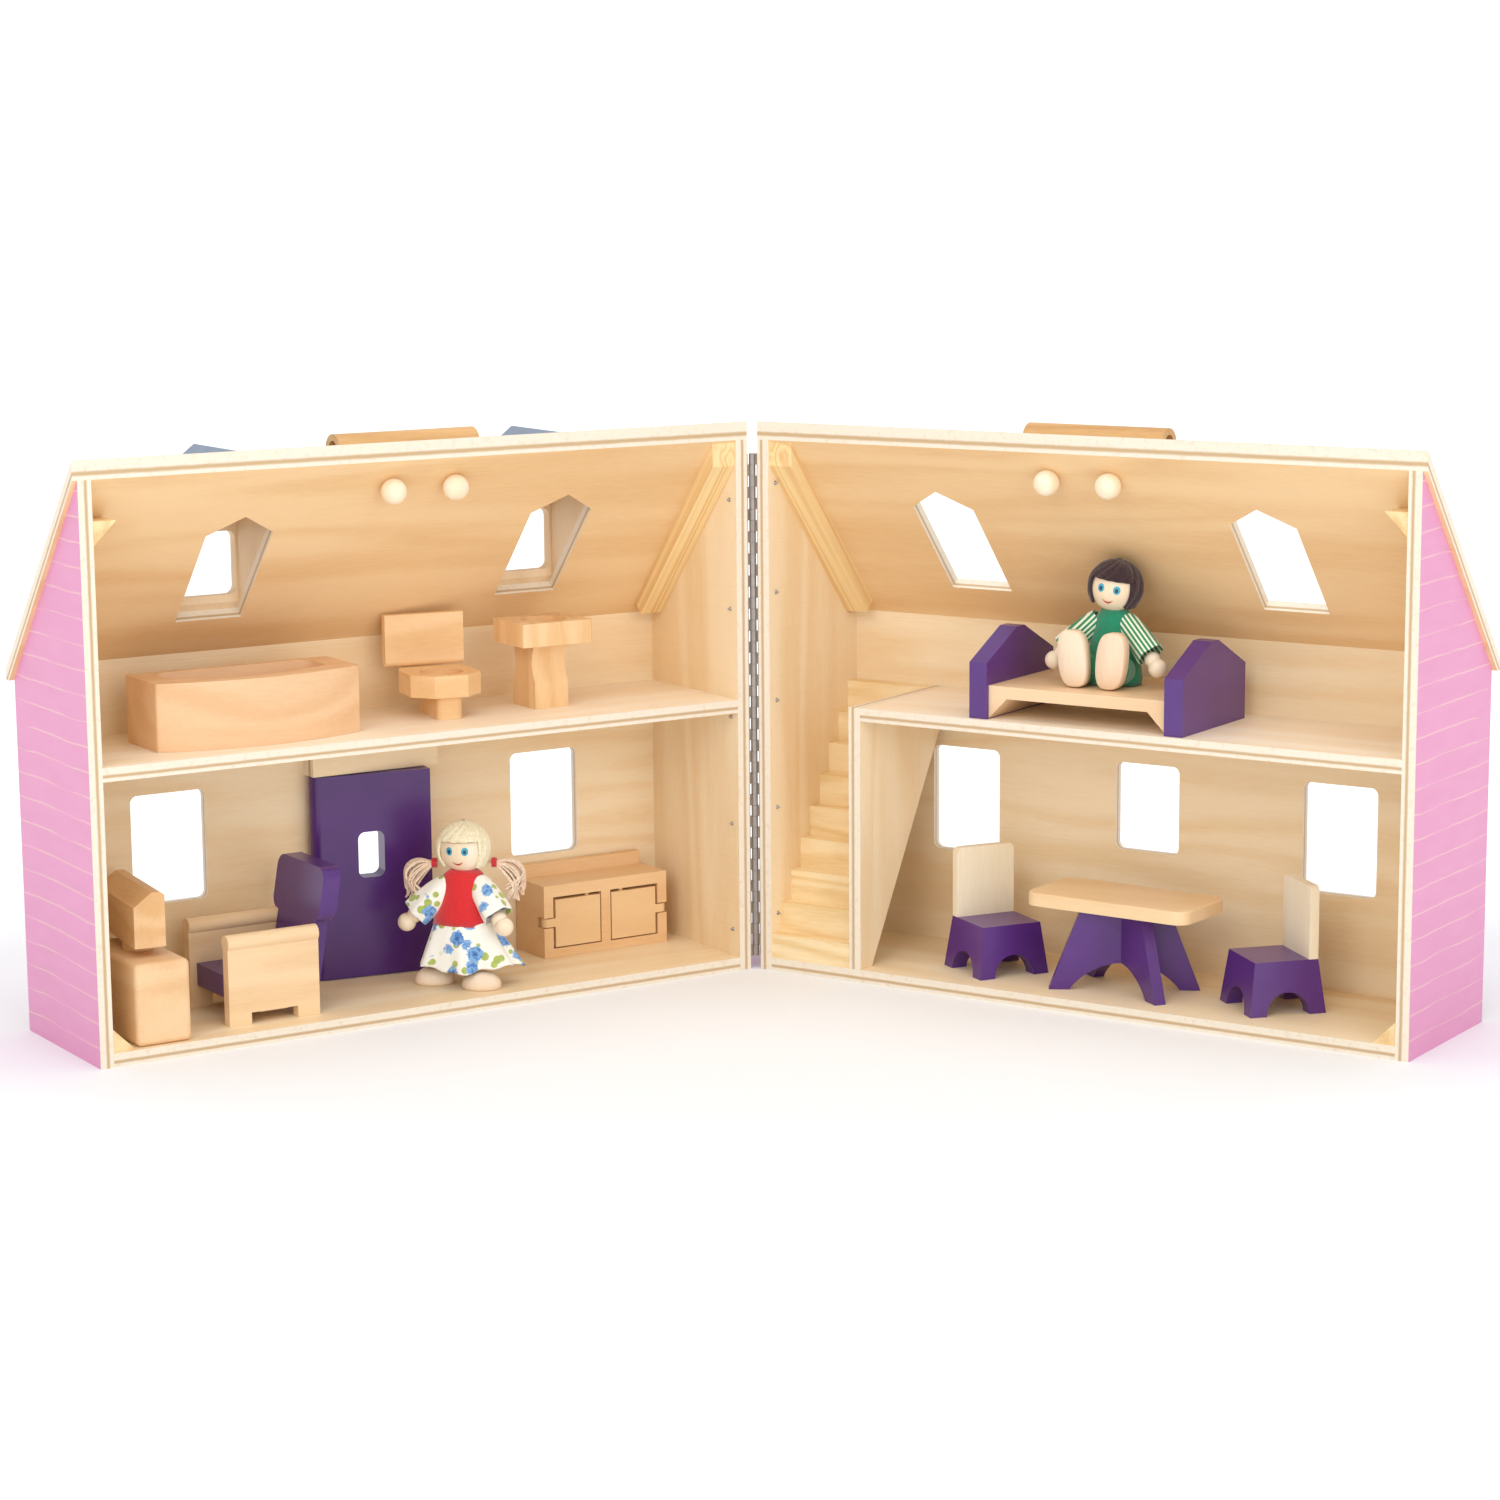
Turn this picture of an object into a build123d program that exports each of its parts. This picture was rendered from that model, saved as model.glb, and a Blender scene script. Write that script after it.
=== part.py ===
from build123d import *
import math
import os

# Folding wooden dollhouse: two mirrored half-houses joined by a piano hinge.
# Each half is laid out in its own frame: u runs along the open front away from
# the fold, v runs into the house from the open front, z is up.

# Fold and overall size (mm, degrees)
FOLD = 33.0
HALF_WIDTH = 343.0
HALF_DEPTH = 85.1
HEIGHT = 269.0
FOLD_GAP = 2.7
HINGE_AXIS_V = -0.3
PLY = 6.35
BACK_PLY = 4.8
ROOF_PLY = 5.8
ROOF_ANGLE = 48.5
ROOF_SIDE_OVERHANG = 2.3
EAVE_MID_V = 87.5
UPPER_FLOOR_TOP = 134.4
REST = 0.05
CORNER = (Align.MIN, Align.MIN, Align.MIN)

SLOPE = math.tan(math.radians(ROOF_ANGLE))
ROOF_BAND = ROOF_PLY / math.cos(math.radians(ROOF_ANGLE))
BACK_V = HALF_DEPTH - BACK_PLY
ROOM_U = (FOLD_GAP + PLY, HALF_WIDTH - PLY)
MID_U = (FOLD_GAP + HALF_WIDTH) / 2
UPPER_FLOOR_UNDER = UPPER_FLOOR_TOP - PLY
GROUND = PLY + REST
UPSTAIRS = UPPER_FLOOR_TOP + REST

# Windows, doorway and roof openings
WINDOW_PITCH = 100.0
WINDOW = (37.3, 52.2)
WINDOW_Z = 78.5
MIDDLE_WINDOW = (33.7, 42.8)
MIDDLE_WINDOW_Z = 83.8
WINDOW_RADIUS = 3.5
DORMER_PITCH = 83.0
PENTAGON_HALF = 16.4
PENTAGON_V = (65.5, 27.6, 20.2)
DORMER_WALL = 4.5
DORMER_FACE_PLY = 5.5
DORMER_EAVE_Z = 248.0
DORMER_RIDGE_Z = 266.5
DORMER_ROOF_PLY = 3.0
DORMER_ROOF_REACH = 3.5
DORMER_ROOF_FRONT = 2.5
DORMER_FACE_V = 72.5
DORMER_WINDOW = (30.8, 29.6)
DORMER_WINDOW_Z = 211.6
DORMER_WINDOW_RADIUS = 4.0

# Battens, glue blocks, handles
GLUE_BLOCK = 11.0
GLUE_BLOCK_DEPTH = 16.0
BATTEN_WIDTH = 12.5
BATTEN_THICK = 7.5
BATTEN_V = (1.0, 75.0)
HANDLE_SPACING = 31.8
HANDLE_KNOB_V = 9.9
HANDLE_RISE = 17.0
GRIP_LENGTH = 72.0
GRIP_RADIUS = 7.4
GRIP_BORE = 4.4
POST_RADIUS = 2.2
KNOB_RADIUS = 6.0

# Piano hinge
HINGE_Z = (6.5, 253.5)
KNUCKLES = 46
KNUCKLE_GAP = 0.12
BARREL_RADIUS = 1.6
BARREL_BORE = 0.8
HINGE_PIN_RADIUS = 0.75
LEAF_U = (1.75, FOLD_GAP)
LEAF_V = (1.0, 13.0)
WEB_U = 0.9
LEFT_SCREW_Z = 19.6
RIGHT_SCREW_Z = 27.6
SCREW_PITCH = 52.9
SCREWS = 5
SCREW_V = 6.0
SCREW_RADIUS = 1.1
SCREW_TIP = 1.6
SCREW_POINT = 0.2

# Front door
DOOR_PIVOT = (198.0, 75.0)
DOOR_AJAR = 7.3
DOOR_THICK = 9.4
DOOR_REACH = 54.6
DOOR_Z = (6.75, 105.4)
DOOR_WINDOW_U = (17.5, 30.7)
DOOR_WINDOW_Z = (55.0, 77.2)
DOOR_PIN_RADIUS = 1.6
DOOR_PIN_LENGTH = 5.0
DOOR_RUN = 0.05
HEADER_U = (136.8, 203.0)
HEADER_V = 69.8
HEADER_Z = 105.9
DOORWAY_U = (142.6, 200.4)

# Stairs
STEPS = 9
STAIR_U = (FOLD_GAP + PLY, 53.9)
STAIR_V = (0.5, BACK_V)
STAIR_FOOT_V = 10.6
STAIR_HEAD_Z = 122.5
PARTITION_U = (53.9, 60.3)

# Upstairs left: bathtub, toilet, sink
TUB_U = (200.6, 301.2)
TUB_V = (22.5, 57.4)
TUB_BOW = 10.0
TUB_HEIGHT = 31.0
TUB_RIM = (11.4, 4.1, 10.5)
TUB_BASIN_DEPTH = 21.0
TUB_BASIN_ROUND = 7.0
TOILET_AT = (147.9, 44.1)
TOILET_TURN = 10.0
BOWL_SIZE = (34.5, 36.0, 10.4)
BOWL_CHAMFER = 9.0
BOWL_Z = 10.6
BOWL_DISH = (10.5, 6.5)
TOILET_FOOT = (12.4, 32.0)
LID_SIZE = (39.0, 5.0, 25.0)
LID_SHIFT = -2.0
LID_V = 19.4
LID_GAP = 0.4
SINK_AT = (94.5, 40.5)
SINK_SLAB = (37.8, 31.0, 11.2)
SINK_HEIGHT = 42.3
SINK_BASIN_RADIUS = 11.0
SINK_BASIN_DEPTH = 6.5
TAP_HOLE = 1.6
PEDESTAL = (18.0, 22.0)
PEDESTAL_WAIST = 3.0

# Ground floor left: television, armchair, sideboard
CABINET_U = (297.8, 324.1)
CABINET_V = (2.4, 62.0)
CABINET_TOP = 44.0
CABINET_ROUND = 2.6
TV_AXIS = (309.5, 34.0)
TV_TURN = 6.0
TV_LENGTH = (20.0, 36.0)
TV_HALF = 7.2
TV_Z = (48.3, 73.4)
TV_SHOULDER = 67.0
TV_DISC_RADIUS = 7.0
TV_PIN = (2.0, 8.0)
ARMCHAIR_U = (229.4, 274.6)
ARM_V = (14.0, 57.5)
ARM_THICK = 5.5
ARM_TOP = 48.5
ARM_ROLL = 3.9
ARM_BULGE = 1.3
ARM_FOOT = 11.0
ARM_ARCH = 5.4
SEAT_U = 271.0
SEAT_Z = (17.0, 27.5)
STRETCHER_U = (243.0, 257.0)
STRETCHER_Z = (10.0, 17.0)
CHAIR_BACK_TOP = 73.8
CHAIR_BACK_THICK = 8.8
CHAIR_BACK_LEAN = 10.0
CHAIR_BACK_U = 229.5
CHAIR_BACK_ROUND = 6.0
SIDEBOARD_U = (19.8, 89.8)
SIDEBOARD_V = (51.5, 79.6)
SIDEBOARD_TOP = 42.5
SIDE_PANEL = 5.2
SIDEBOARD_BASE = 4.4
SIDEBOARD_LID = 5.9
SIDEBOARD_POST = 5.2
SIDEBOARD_BACK = 3.0
RAIL_HEIGHT = 6.4
RAIL_THICK = 5.0
RAIL_INSET = 1.6
CUPBOARD_GAP = 0.7
HINGE_SIDE_GAP = 1.3
CUPBOARD_THICK = 5.0
TAB_Z = (21.8, 26.0)
TAB_GAP = 0.5
TAB_NOTCH_DEPTH = 6.8
TAB_PIN = (0.8, 4.0)
PEG_RADIUS = 1.2
PEG_INSET = 6.4
PEG_GAP = 0.2

# Right half: table, chairs, bed
TABLE_AT = (185.8, 33.0)
TABLE_TURN = 2.5
TABLE_TOP = (86.0, 42.0, 6.3)
TABLE_HEIGHT = 45.4
TABLE_ROUND = 7.0
LEG_ANGLE = 32.0
LEG_FOOT_HALF = 35.5
LEG_HEAD_HALF = 20.5
LEG_THICK = 5.6
LEG_ARCH = (15.0, 26.0, 13.0)
CHAIR_FOOT = 37.0
CHAIR_SEAT = 31.0
CHAIR_HEIGHT = 24.8
CHAIR_ARCH = (10.5, 10.5)
CHAIR_PLATE = (31.0, 4.5, 34.0)
CHAIR_PLATE_ROUND = 3.0
FIRST_CHAIR = (114.6, 36.6, 58.0)
SECOND_CHAIR = (259.7, 38.2, -42.0)
BED_U = (119.0, 229.6)
BED_V = (2.3, 67.0)
BED_END = 9.3
BED_SHOULDER = 26.4
BED_PEAK = 40.4
BED_PEAK_FLAT = 3.5
PLATFORM_V = (4.3, 65.0)
PLATFORM_Z = (10.0, 15.8)
BRACKET = 9.5

# Dolls
GIRL_AT = (145.0, 28.0)
GIRL_HEAD = (-0.8, 1.8, 65.7)
HEAD_RADIUS = 11.6
HAIR_THICK = 1.6
BOY_AT = (175.1, 38.0)
BOY_HEAD = (1.5, 0.0, 45.6)
HAND_RADIUS = 4.3


SETBACK = Location((0, -HINGE_AXIS_V, 0))
left = (Location((0, 0, 0), (0, 0, FOLD)) * SETBACK, -1)
right = (Location((0, 0, 0), (0, 0, -FOLD)) * SETBACK, 1)


def placed(frame, plane):
    """A plane carried along by a frame."""
    return Plane(frame * plane.location)


def board(half, u, v, z, mode=Mode.ADD):
    """Rectangular board between two limits in each of u, v and z."""
    frame, hand = half
    low = min(hand * u[0], hand * u[1])
    with Locations(frame * Location((low, v[0], z[0]))):
        Box(u[1] - u[0], v[1] - v[0], z[1] - z[0], align=CORNER, mode=mode)


def section(half, u, points, mode=Mode.ADD):
    """Panel of a (v, z) outline, running from u[0] to u[1]."""
    frame, hand = half
    low = min(hand * u[0], hand * u[1])
    with BuildSketch(placed(frame, Plane.YZ.offset(low))) as outline:
        with BuildLine():
            Polyline(*points, close=True)
        make_face()
    extrude(outline.sketch, amount=u[1] - u[0], mode=mode)


def elevation(half, v, points, mode=Mode.ADD):
    """Panel of a (u, z) outline, running from v[0] to v[1]."""
    frame, hand = half
    with BuildSketch(placed(frame, Plane.XZ.offset(-v[0]))) as outline:
        with BuildLine():
            Polyline(*[(hand * u, z) for u, z in points], close=True)
        make_face()
    extrude(outline.sketch, amount=v[0] - v[1], mode=mode)


def window(half, u, z, size, v, radius=WINDOW_RADIUS):
    """Rounded window hole through a wall between two depths."""
    frame, hand = half
    with BuildSketch(placed(frame, Plane.XZ.offset(-v[0]))) as outline:
        with Locations((hand * u, z)):
            RectangleRounded(size[0], size[1], radius)
    extrude(outline.sketch, amount=v[0] - v[1], mode=Mode.SUBTRACT)


def rod(half, u, v, z, radius, mode=Mode.ADD):
    """Upright round rod."""
    frame, hand = half
    with Locations(frame * Location((hand * u, v, z[0]))):
        Cylinder(radius, z[1] - z[0], align=(Align.CENTER, Align.CENTER, Align.MIN), mode=mode)


def cross_rod(half, u, v, z, radius, mode=Mode.ADD):
    """Round rod lying along u."""
    frame, hand = half
    low = min(hand * u[0], hand * u[1])
    with Locations(frame * Location((low, v, z), (0, 90, 0))):
        Cylinder(radius, u[1] - u[0], align=(Align.CENTER, Align.CENTER, Align.MIN), mode=mode)


def roof_under(v):
    return HEIGHT - ROOF_BAND - SLOPE * v


def roof_over(v):
    return HEIGHT - SLOPE * v


def gable(half, u):
    outline = [(0, 0), (HALF_DEPTH, 0), (HALF_DEPTH, roof_under(HALF_DEPTH)), (0, roof_under(0))]
    section(half, u, outline)


def back_wall(half):
    foot = [(BACK_V, 0), (HALF_DEPTH, 0)]
    head = [(HALF_DEPTH, roof_under(HALF_DEPTH)), (BACK_V, roof_under(BACK_V))]
    section(half, ROOM_U, foot + head)
    for side in (-1, 1):
        at = MID_U + side * WINDOW_PITCH
        window(half, at, WINDOW_Z, WINDOW, (BACK_V - 1, HALF_DEPTH + 1))


def roof_panel(half):
    """Sloping roof board with a plumb ridge edge, rounded eave and two pentagon openings."""
    frame, hand = half
    span = (FOLD_GAP, HALF_WIDTH + ROOF_SIDE_OVERHANG)
    mid = (EAVE_MID_V, roof_over(EAVE_MID_V) - ROOF_BAND / 2)
    away = ROOF_PLY / 2 * math.sin(math.radians(ROOF_ANGLE))
    lift = ROOF_PLY / 2 * math.cos(math.radians(ROOF_ANGLE))
    top = [(0, roof_over(0)), (mid[0] + away, mid[1] + lift)]
    under = [(mid[0] - away, mid[1] - lift), (0, roof_under(0))]
    section(half, span, top + under)
    cross_rod(half, span, mid[0], mid[1], ROOF_PLY / 2)
    for side in (-1, 1):
        at = MID_U + side * DORMER_PITCH
        normal = (0, math.sin(math.radians(ROOF_ANGLE)), math.cos(math.radians(ROOF_ANGLE)))
        foot, shoulder, peak = [v / math.cos(math.radians(ROOF_ANGLE)) for v in PENTAGON_V]
        tilted = Plane(origin=(hand * at, 0, roof_under(0)), x_dir=(1, 0, 0), z_dir=normal)
        base = placed(frame, tilted)
        with BuildSketch(base.offset(-ROOF_PLY)) as opening:
            with BuildLine():
                lower = [(-PENTAGON_HALF, foot), (PENTAGON_HALF, foot)]
                upper = [(PENTAGON_HALF, shoulder), (0, peak), (-PENTAGON_HALF, shoulder)]
                Polyline(*lower, *upper, close=True)
            make_face()
        extrude(opening.sketch, amount=3 * ROOF_PLY, mode=Mode.SUBTRACT)


def glue_blocks(half):
    """Triangular blocks in the floor and roof corners of the gables."""
    low, high = ROOM_U
    v = (0.5, GLUE_BLOCK_DEPTH)
    elevation(half, v, [(high, PLY), (high - GLUE_BLOCK, PLY), (high, PLY + GLUE_BLOCK)])
    crown = roof_under(GLUE_BLOCK_DEPTH)
    lower = [(high, crown), (high - GLUE_BLOCK, crown), (high, crown - GLUE_BLOCK)]
    elevation(half, (0.5, GLUE_BLOCK_DEPTH), lower)


def roof_batten(half):
    """Rectangular stick glued down the slope where the roof meets the hinge gable."""
    drop = BATTEN_THICK / math.cos(math.radians(ROOF_ANGLE))
    near, far = BATTEN_V
    outline = [(near, roof_under(near)), (far, roof_under(far))]
    inner = [(far - 5, roof_under(far - 5) - drop), (near, roof_under(near) - drop)]
    section(half, (ROOM_U[0], ROOM_U[0] + BATTEN_WIDTH), outline + inner)


def grip_center():
    """Axis of the handle grip in (v, z)."""
    run = HANDLE_RISE + ROOF_PLY
    away = math.sin(math.radians(ROOF_ANGLE))
    lift = math.cos(math.radians(ROOF_ANGLE))
    return HANDLE_KNOB_V + run * away, roof_under(HANDLE_KNOB_V) + run * lift


def handle_grip(half):
    v, z = grip_center()
    span = (MID_U - GRIP_LENGTH / 2, MID_U + GRIP_LENGTH / 2)
    cross_rod(half, span, v, z, GRIP_RADIUS)
    cross_rod(half, span, v, z, GRIP_BORE, mode=Mode.SUBTRACT)
    handle_posts(half, Mode.SUBTRACT)


def handle_posts(half, mode=Mode.ADD):
    """Turned posts from the grip through the roof to a ball knob under it."""
    frame, hand = half
    tilt = Location((0, 0, 0), (-ROOF_ANGLE, 0, 0))
    for side in (-1, 1):
        at = hand * (MID_U + side * HANDLE_SPACING / 2)
        foot = frame * Location((at, HANDLE_KNOB_V, roof_under(HANDLE_KNOB_V))) * tilt
        with Locations(foot):
            length = HANDLE_RISE + ROOF_PLY - GRIP_BORE
            Cylinder(POST_RADIUS, length, align=(Align.CENTER, Align.CENTER, Align.MIN), mode=mode)


def handle_knobs(half):
    """Ball ends of the posts, seated against the underside of the roof."""
    frame, hand = half
    tilt = Location((0, 0, 0), (-ROOF_ANGLE, 0, 0))
    for side in (-1, 1):
        at = hand * (MID_U + side * HANDLE_SPACING / 2)
        foot = frame * Location((at, HANDLE_KNOB_V, roof_under(HANDLE_KNOB_V))) * tilt
        with Locations(foot * Location((0, 0, -KNOB_RADIUS * 0.8))):
            Sphere(KNOB_RADIUS)
        with Locations(foot):
            Box(4 * KNOB_RADIUS, 4 * KNOB_RADIUS, KNOB_RADIUS,
                align=(Align.CENTER, Align.CENTER, Align.MIN), mode=Mode.SUBTRACT)


def hinge_leaf(half, first, lowest):
    """Thin leaf with every second knuckle of the piano hinge."""
    board(half, LEAF_U, LEAF_V, HINGE_Z)
    pitch = (HINGE_Z[1] - HINGE_Z[0]) / KNUCKLES
    for index in range(first, KNUCKLES, 2):
        z = HINGE_Z[0] + index * pitch
        span = (z + KNUCKLE_GAP / 2, z + pitch - KNUCKLE_GAP / 2)
        rod(half, 0, HINGE_AXIS_V, span, BARREL_RADIUS)
        board(half, (WEB_U, LEAF_U[1]), (HINGE_AXIS_V, LEAF_V[0] + WEB_U), span)
    rod(half, 0, HINGE_AXIS_V, HINGE_Z, BARREL_BORE, mode=Mode.SUBTRACT)
    hinge_screws(half, lowest, Mode.SUBTRACT)


def hinge_screws(half, lowest, mode=Mode.ADD):
    """Screw shanks through the leaf and gable."""
    for index in range(SCREWS):
        z = lowest + index * SCREW_PITCH
        cross_rod(half, (LEAF_U[0], ROOM_U[0]), SCREW_V, z, SCREW_RADIUS, mode=mode)


def screw_tips(half, lowest):
    """Screw points standing out of the inner face of the gable."""
    frame, hand = half
    for index in range(SCREWS):
        at = (hand * ROOM_U[0], SCREW_V, lowest + index * SCREW_PITCH)
        with Locations(frame * Location(at, (0, hand * 90, 0))):
            Cone(SCREW_RADIUS, SCREW_POINT, SCREW_TIP, align=(Align.CENTER, Align.CENTER, Align.MIN))


# House shell -------------------------------------------------------------
with BuildPart() as left_floor:
    board(left, ROOM_U, (0, BACK_V), (0, PLY))
    rod(left, DOOR_PIVOT[0], DOOR_PIVOT[1], (PLY - DOOR_PIN_LENGTH, PLY),
        DOOR_PIN_RADIUS + DOOR_RUN, mode=Mode.SUBTRACT)

with BuildPart() as right_floor:
    board(right, ROOM_U, (0, BACK_V), (0, PLY))

with BuildPart() as left_outer_gable:
    gable(left, (ROOM_U[1], HALF_WIDTH))

with BuildPart() as right_outer_gable:
    gable(right, (ROOM_U[1], HALF_WIDTH))

with BuildPart() as left_hinge_gable:
    gable(left, (FOLD_GAP, ROOM_U[0]))
    hinge_screws(left, LEFT_SCREW_Z, Mode.SUBTRACT)

with BuildPart() as right_hinge_gable:
    gable(right, (FOLD_GAP, ROOM_U[0]))
    hinge_screws(right, RIGHT_SCREW_Z, Mode.SUBTRACT)

with BuildPart() as left_back_wall:
    back_wall(left)
    board(left, DOORWAY_U, (BACK_V - 1, HALF_DEPTH + 1), (PLY, HEADER_Z), mode=Mode.SUBTRACT)

with BuildPart() as right_back_wall:
    back_wall(right)
    window(right, MID_U, MIDDLE_WINDOW_Z, MIDDLE_WINDOW, (BACK_V - 1, HALF_DEPTH + 1))

with BuildPart() as left_roof:
    roof_panel(left)
    handle_posts(left, Mode.SUBTRACT)

with BuildPart() as right_roof:
    roof_panel(right)
    handle_posts(right, Mode.SUBTRACT)

with BuildPart() as left_upper_floor:
    board(left, ROOM_U, (0, BACK_V), (UPPER_FLOOR_UNDER, UPPER_FLOOR_TOP))

with BuildPart() as right_upper_floor:
    board(right, (PARTITION_U[1], ROOM_U[1]), (0, BACK_V), (UPPER_FLOOR_UNDER, UPPER_FLOOR_TOP))

with BuildPart() as left_glue_blocks:
    glue_blocks(left)

with BuildPart() as right_glue_blocks:
    glue_blocks(right)

with BuildPart() as left_roof_batten:
    roof_batten(left)

with BuildPart() as right_roof_batten:
    roof_batten(right)

with BuildPart() as left_handle_grip:
    handle_grip(left)

with BuildPart() as right_handle_grip:
    handle_grip(right)

with BuildPart() as left_handle_posts:
    handle_knobs(left)
    handle_posts(left)

with BuildPart() as right_handle_posts:
    handle_knobs(right)
    handle_posts(right)

# Dormers: an upright face and two cheeks under a small pitched roof ------
DORMER_HALF = PENTAGON_HALF + DORMER_WALL
DORMER_PITCH_SLOPE = (DORMER_RIDGE_Z - DORMER_EAVE_Z) / (DORMER_HALF + DORMER_ROOF_REACH)
DORMER_BAND = DORMER_ROOF_PLY * math.sqrt(1 + DORMER_PITCH_SLOPE ** 2)
DORMER_PEAK_UNDER = DORMER_RIDGE_Z - DORMER_BAND


def over_roof(half):
    """Trim away everything that reaches below the top face of the main roof."""
    far = HALF_DEPTH + PLY
    outline = [(-1, roof_over(-1)), (far, roof_over(far)), (far, 0), (-1, 0)]
    section(half, (FOLD_GAP, HALF_WIDTH), outline, mode=Mode.SUBTRACT)


def dormer_shell(half, at):
    """Gable-shaped front plate and the two cheeks running back to the main roof."""
    shoulder = DORMER_PEAK_UNDER - DORMER_HALF * DORMER_PITCH_SLOPE
    foot = roof_over(DORMER_FACE_V)
    base = [(at - DORMER_HALF, foot), (at + DORMER_HALF, foot)]
    head = [(at + DORMER_HALF, shoulder), (at, DORMER_PEAK_UNDER), (at - DORMER_HALF, shoulder)]
    elevation(half, (0, DORMER_FACE_V), base + head)
    hollow = (at - PENTAGON_HALF, at + PENTAGON_HALF)
    depth = (-1, DORMER_FACE_V - DORMER_FACE_PLY)
    board(half, hollow, depth, (foot - 1, DORMER_RIDGE_Z), mode=Mode.SUBTRACT)
    through = (DORMER_FACE_V - 2 * DORMER_FACE_PLY, DORMER_FACE_V + 1)
    window(half, at, DORMER_WINDOW_Z, DORMER_WINDOW, through, DORMER_WINDOW_RADIUS)


def dormer_cover(half, at):
    """Two pitched boards of a dormer meeting at its ridge."""
    reach = DORMER_HALF + DORMER_ROOF_REACH
    face = (0, DORMER_FACE_V + DORMER_ROOF_FRONT)
    under = DORMER_EAVE_Z - DORMER_BAND
    top = [(at - reach, DORMER_EAVE_Z), (at, DORMER_RIDGE_Z), (at + reach, DORMER_EAVE_Z)]
    low = [(at + reach, under), (at, DORMER_PEAK_UNDER), (at - reach, under)]
    elevation(half, face, top + low)


with BuildPart() as dormer_walls:
    dormer_shell(left, MID_U - DORMER_PITCH)
    dormer_shell(left, MID_U + DORMER_PITCH)
    over_roof(left)

with BuildPart() as dormer_roofs:
    dormer_cover(left, MID_U - DORMER_PITCH)
    dormer_cover(left, MID_U + DORMER_PITCH)
    over_roof(left)

# Piano hinge -------------------------------------------------------------
with BuildPart() as left_hinge_leaf:
    hinge_leaf(left, 0, LEFT_SCREW_Z)

with BuildPart() as right_hinge_leaf:
    hinge_leaf(right, 1, RIGHT_SCREW_Z)

with BuildPart() as hinge_pin:
    rod(left, 0, HINGE_AXIS_V, HINGE_Z, HINGE_PIN_RADIUS)

with BuildPart() as left_hinge_screws:
    hinge_screws(left, LEFT_SCREW_Z)
    screw_tips(left, LEFT_SCREW_Z)

with BuildPart() as right_hinge_screws:
    hinge_screws(right, RIGHT_SCREW_Z)
    screw_tips(right, RIGHT_SCREW_Z)

# Front door --------------------------------------------------------------
DOOR_FRAME = left[0] * Location((-DOOR_PIVOT[0], DOOR_PIVOT[1], 0), (0, 0, -DOOR_AJAR))

with BuildPart() as door_header:
    board(left, HEADER_U, (HEADER_V, BACK_V), (HEADER_Z, UPPER_FLOOR_UNDER))
    rod(left, DOOR_PIVOT[0], DOOR_PIVOT[1], (HEADER_Z, HEADER_Z + DOOR_PIN_LENGTH),
        DOOR_PIN_RADIUS + DOOR_RUN, mode=Mode.SUBTRACT)

with BuildPart() as front_door:
    with Locations(DOOR_FRAME * Location((0, 0, DOOR_Z[0]))):
        Box(DOOR_REACH, DOOR_THICK, DOOR_Z[1] - DOOR_Z[0],
            align=(Align.MIN, Align.CENTER, Align.MIN))
        Cylinder(DOOR_THICK / 2, DOOR_Z[1] - DOOR_Z[0],
                 align=(Align.CENTER, Align.CENTER, Align.MIN))
    with Locations(DOOR_FRAME * Location((0, 0, PLY - DOOR_PIN_LENGTH + 0.5))):
        Cylinder(DOOR_PIN_RADIUS, HEADER_Z + 2 * DOOR_PIN_LENGTH - PLY - 1,
                 align=(Align.CENTER, Align.CENTER, Align.MIN))
    with BuildSketch(placed(DOOR_FRAME, Plane.XZ.offset(-DOOR_THICK))):
        middle = (sum(DOOR_WINDOW_U) / 2, sum(DOOR_WINDOW_Z) / 2)
        with Locations(middle):
            RectangleRounded(DOOR_WINDOW_U[1] - DOOR_WINDOW_U[0],
                             DOOR_WINDOW_Z[1] - DOOR_WINDOW_Z[0], WINDOW_RADIUS)
    extrude(amount=2 * DOOR_THICK, mode=Mode.SUBTRACT)

# Stairs ------------------------------------------------------------------
with BuildPart() as staircase:
    tread = (STAIR_V[1] - STAIR_V[0]) / STEPS
    rise = (UPPER_FLOOR_TOP - PLY) / (STEPS - 0.2)
    first = UPPER_FLOOR_TOP - rise * (STEPS - 1)
    steps = [(STAIR_V[0], PLY)]
    for index in range(STEPS):
        steps.append((STAIR_V[0] + tread * index, first + rise * index))
        steps.append((STAIR_V[0] + tread * (index + 1), first + rise * index))
    steps.append((STAIR_V[1], STAIR_HEAD_Z))
    steps.append((STAIR_FOOT_V, PLY))
    section(right, STAIR_U, steps)

with BuildPart() as stair_partition:
    foot = [(0, PLY), (STAIR_FOOT_V, PLY)]
    head = [(BACK_V, STAIR_HEAD_Z), (BACK_V, UPPER_FLOOR_TOP), (0, UPPER_FLOOR_TOP)]
    section(right, PARTITION_U, foot + head)

# Upstairs left furniture -------------------------------------------------
def tub_outline(end, rear, front):
    """Straight back and ends with a bowed front, set in by the given rims."""
    low, high = -TUB_U[1] + end, -TUB_U[0] - end
    back, near = TUB_V[1] - rear, TUB_V[0] + front
    Line((low, near), (low, back))
    Line((low, back), (high, back))
    Line((high, back), (high, near))
    ThreePointArc((high, near), ((low + high) / 2, near - TUB_BOW), (low, near))


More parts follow.
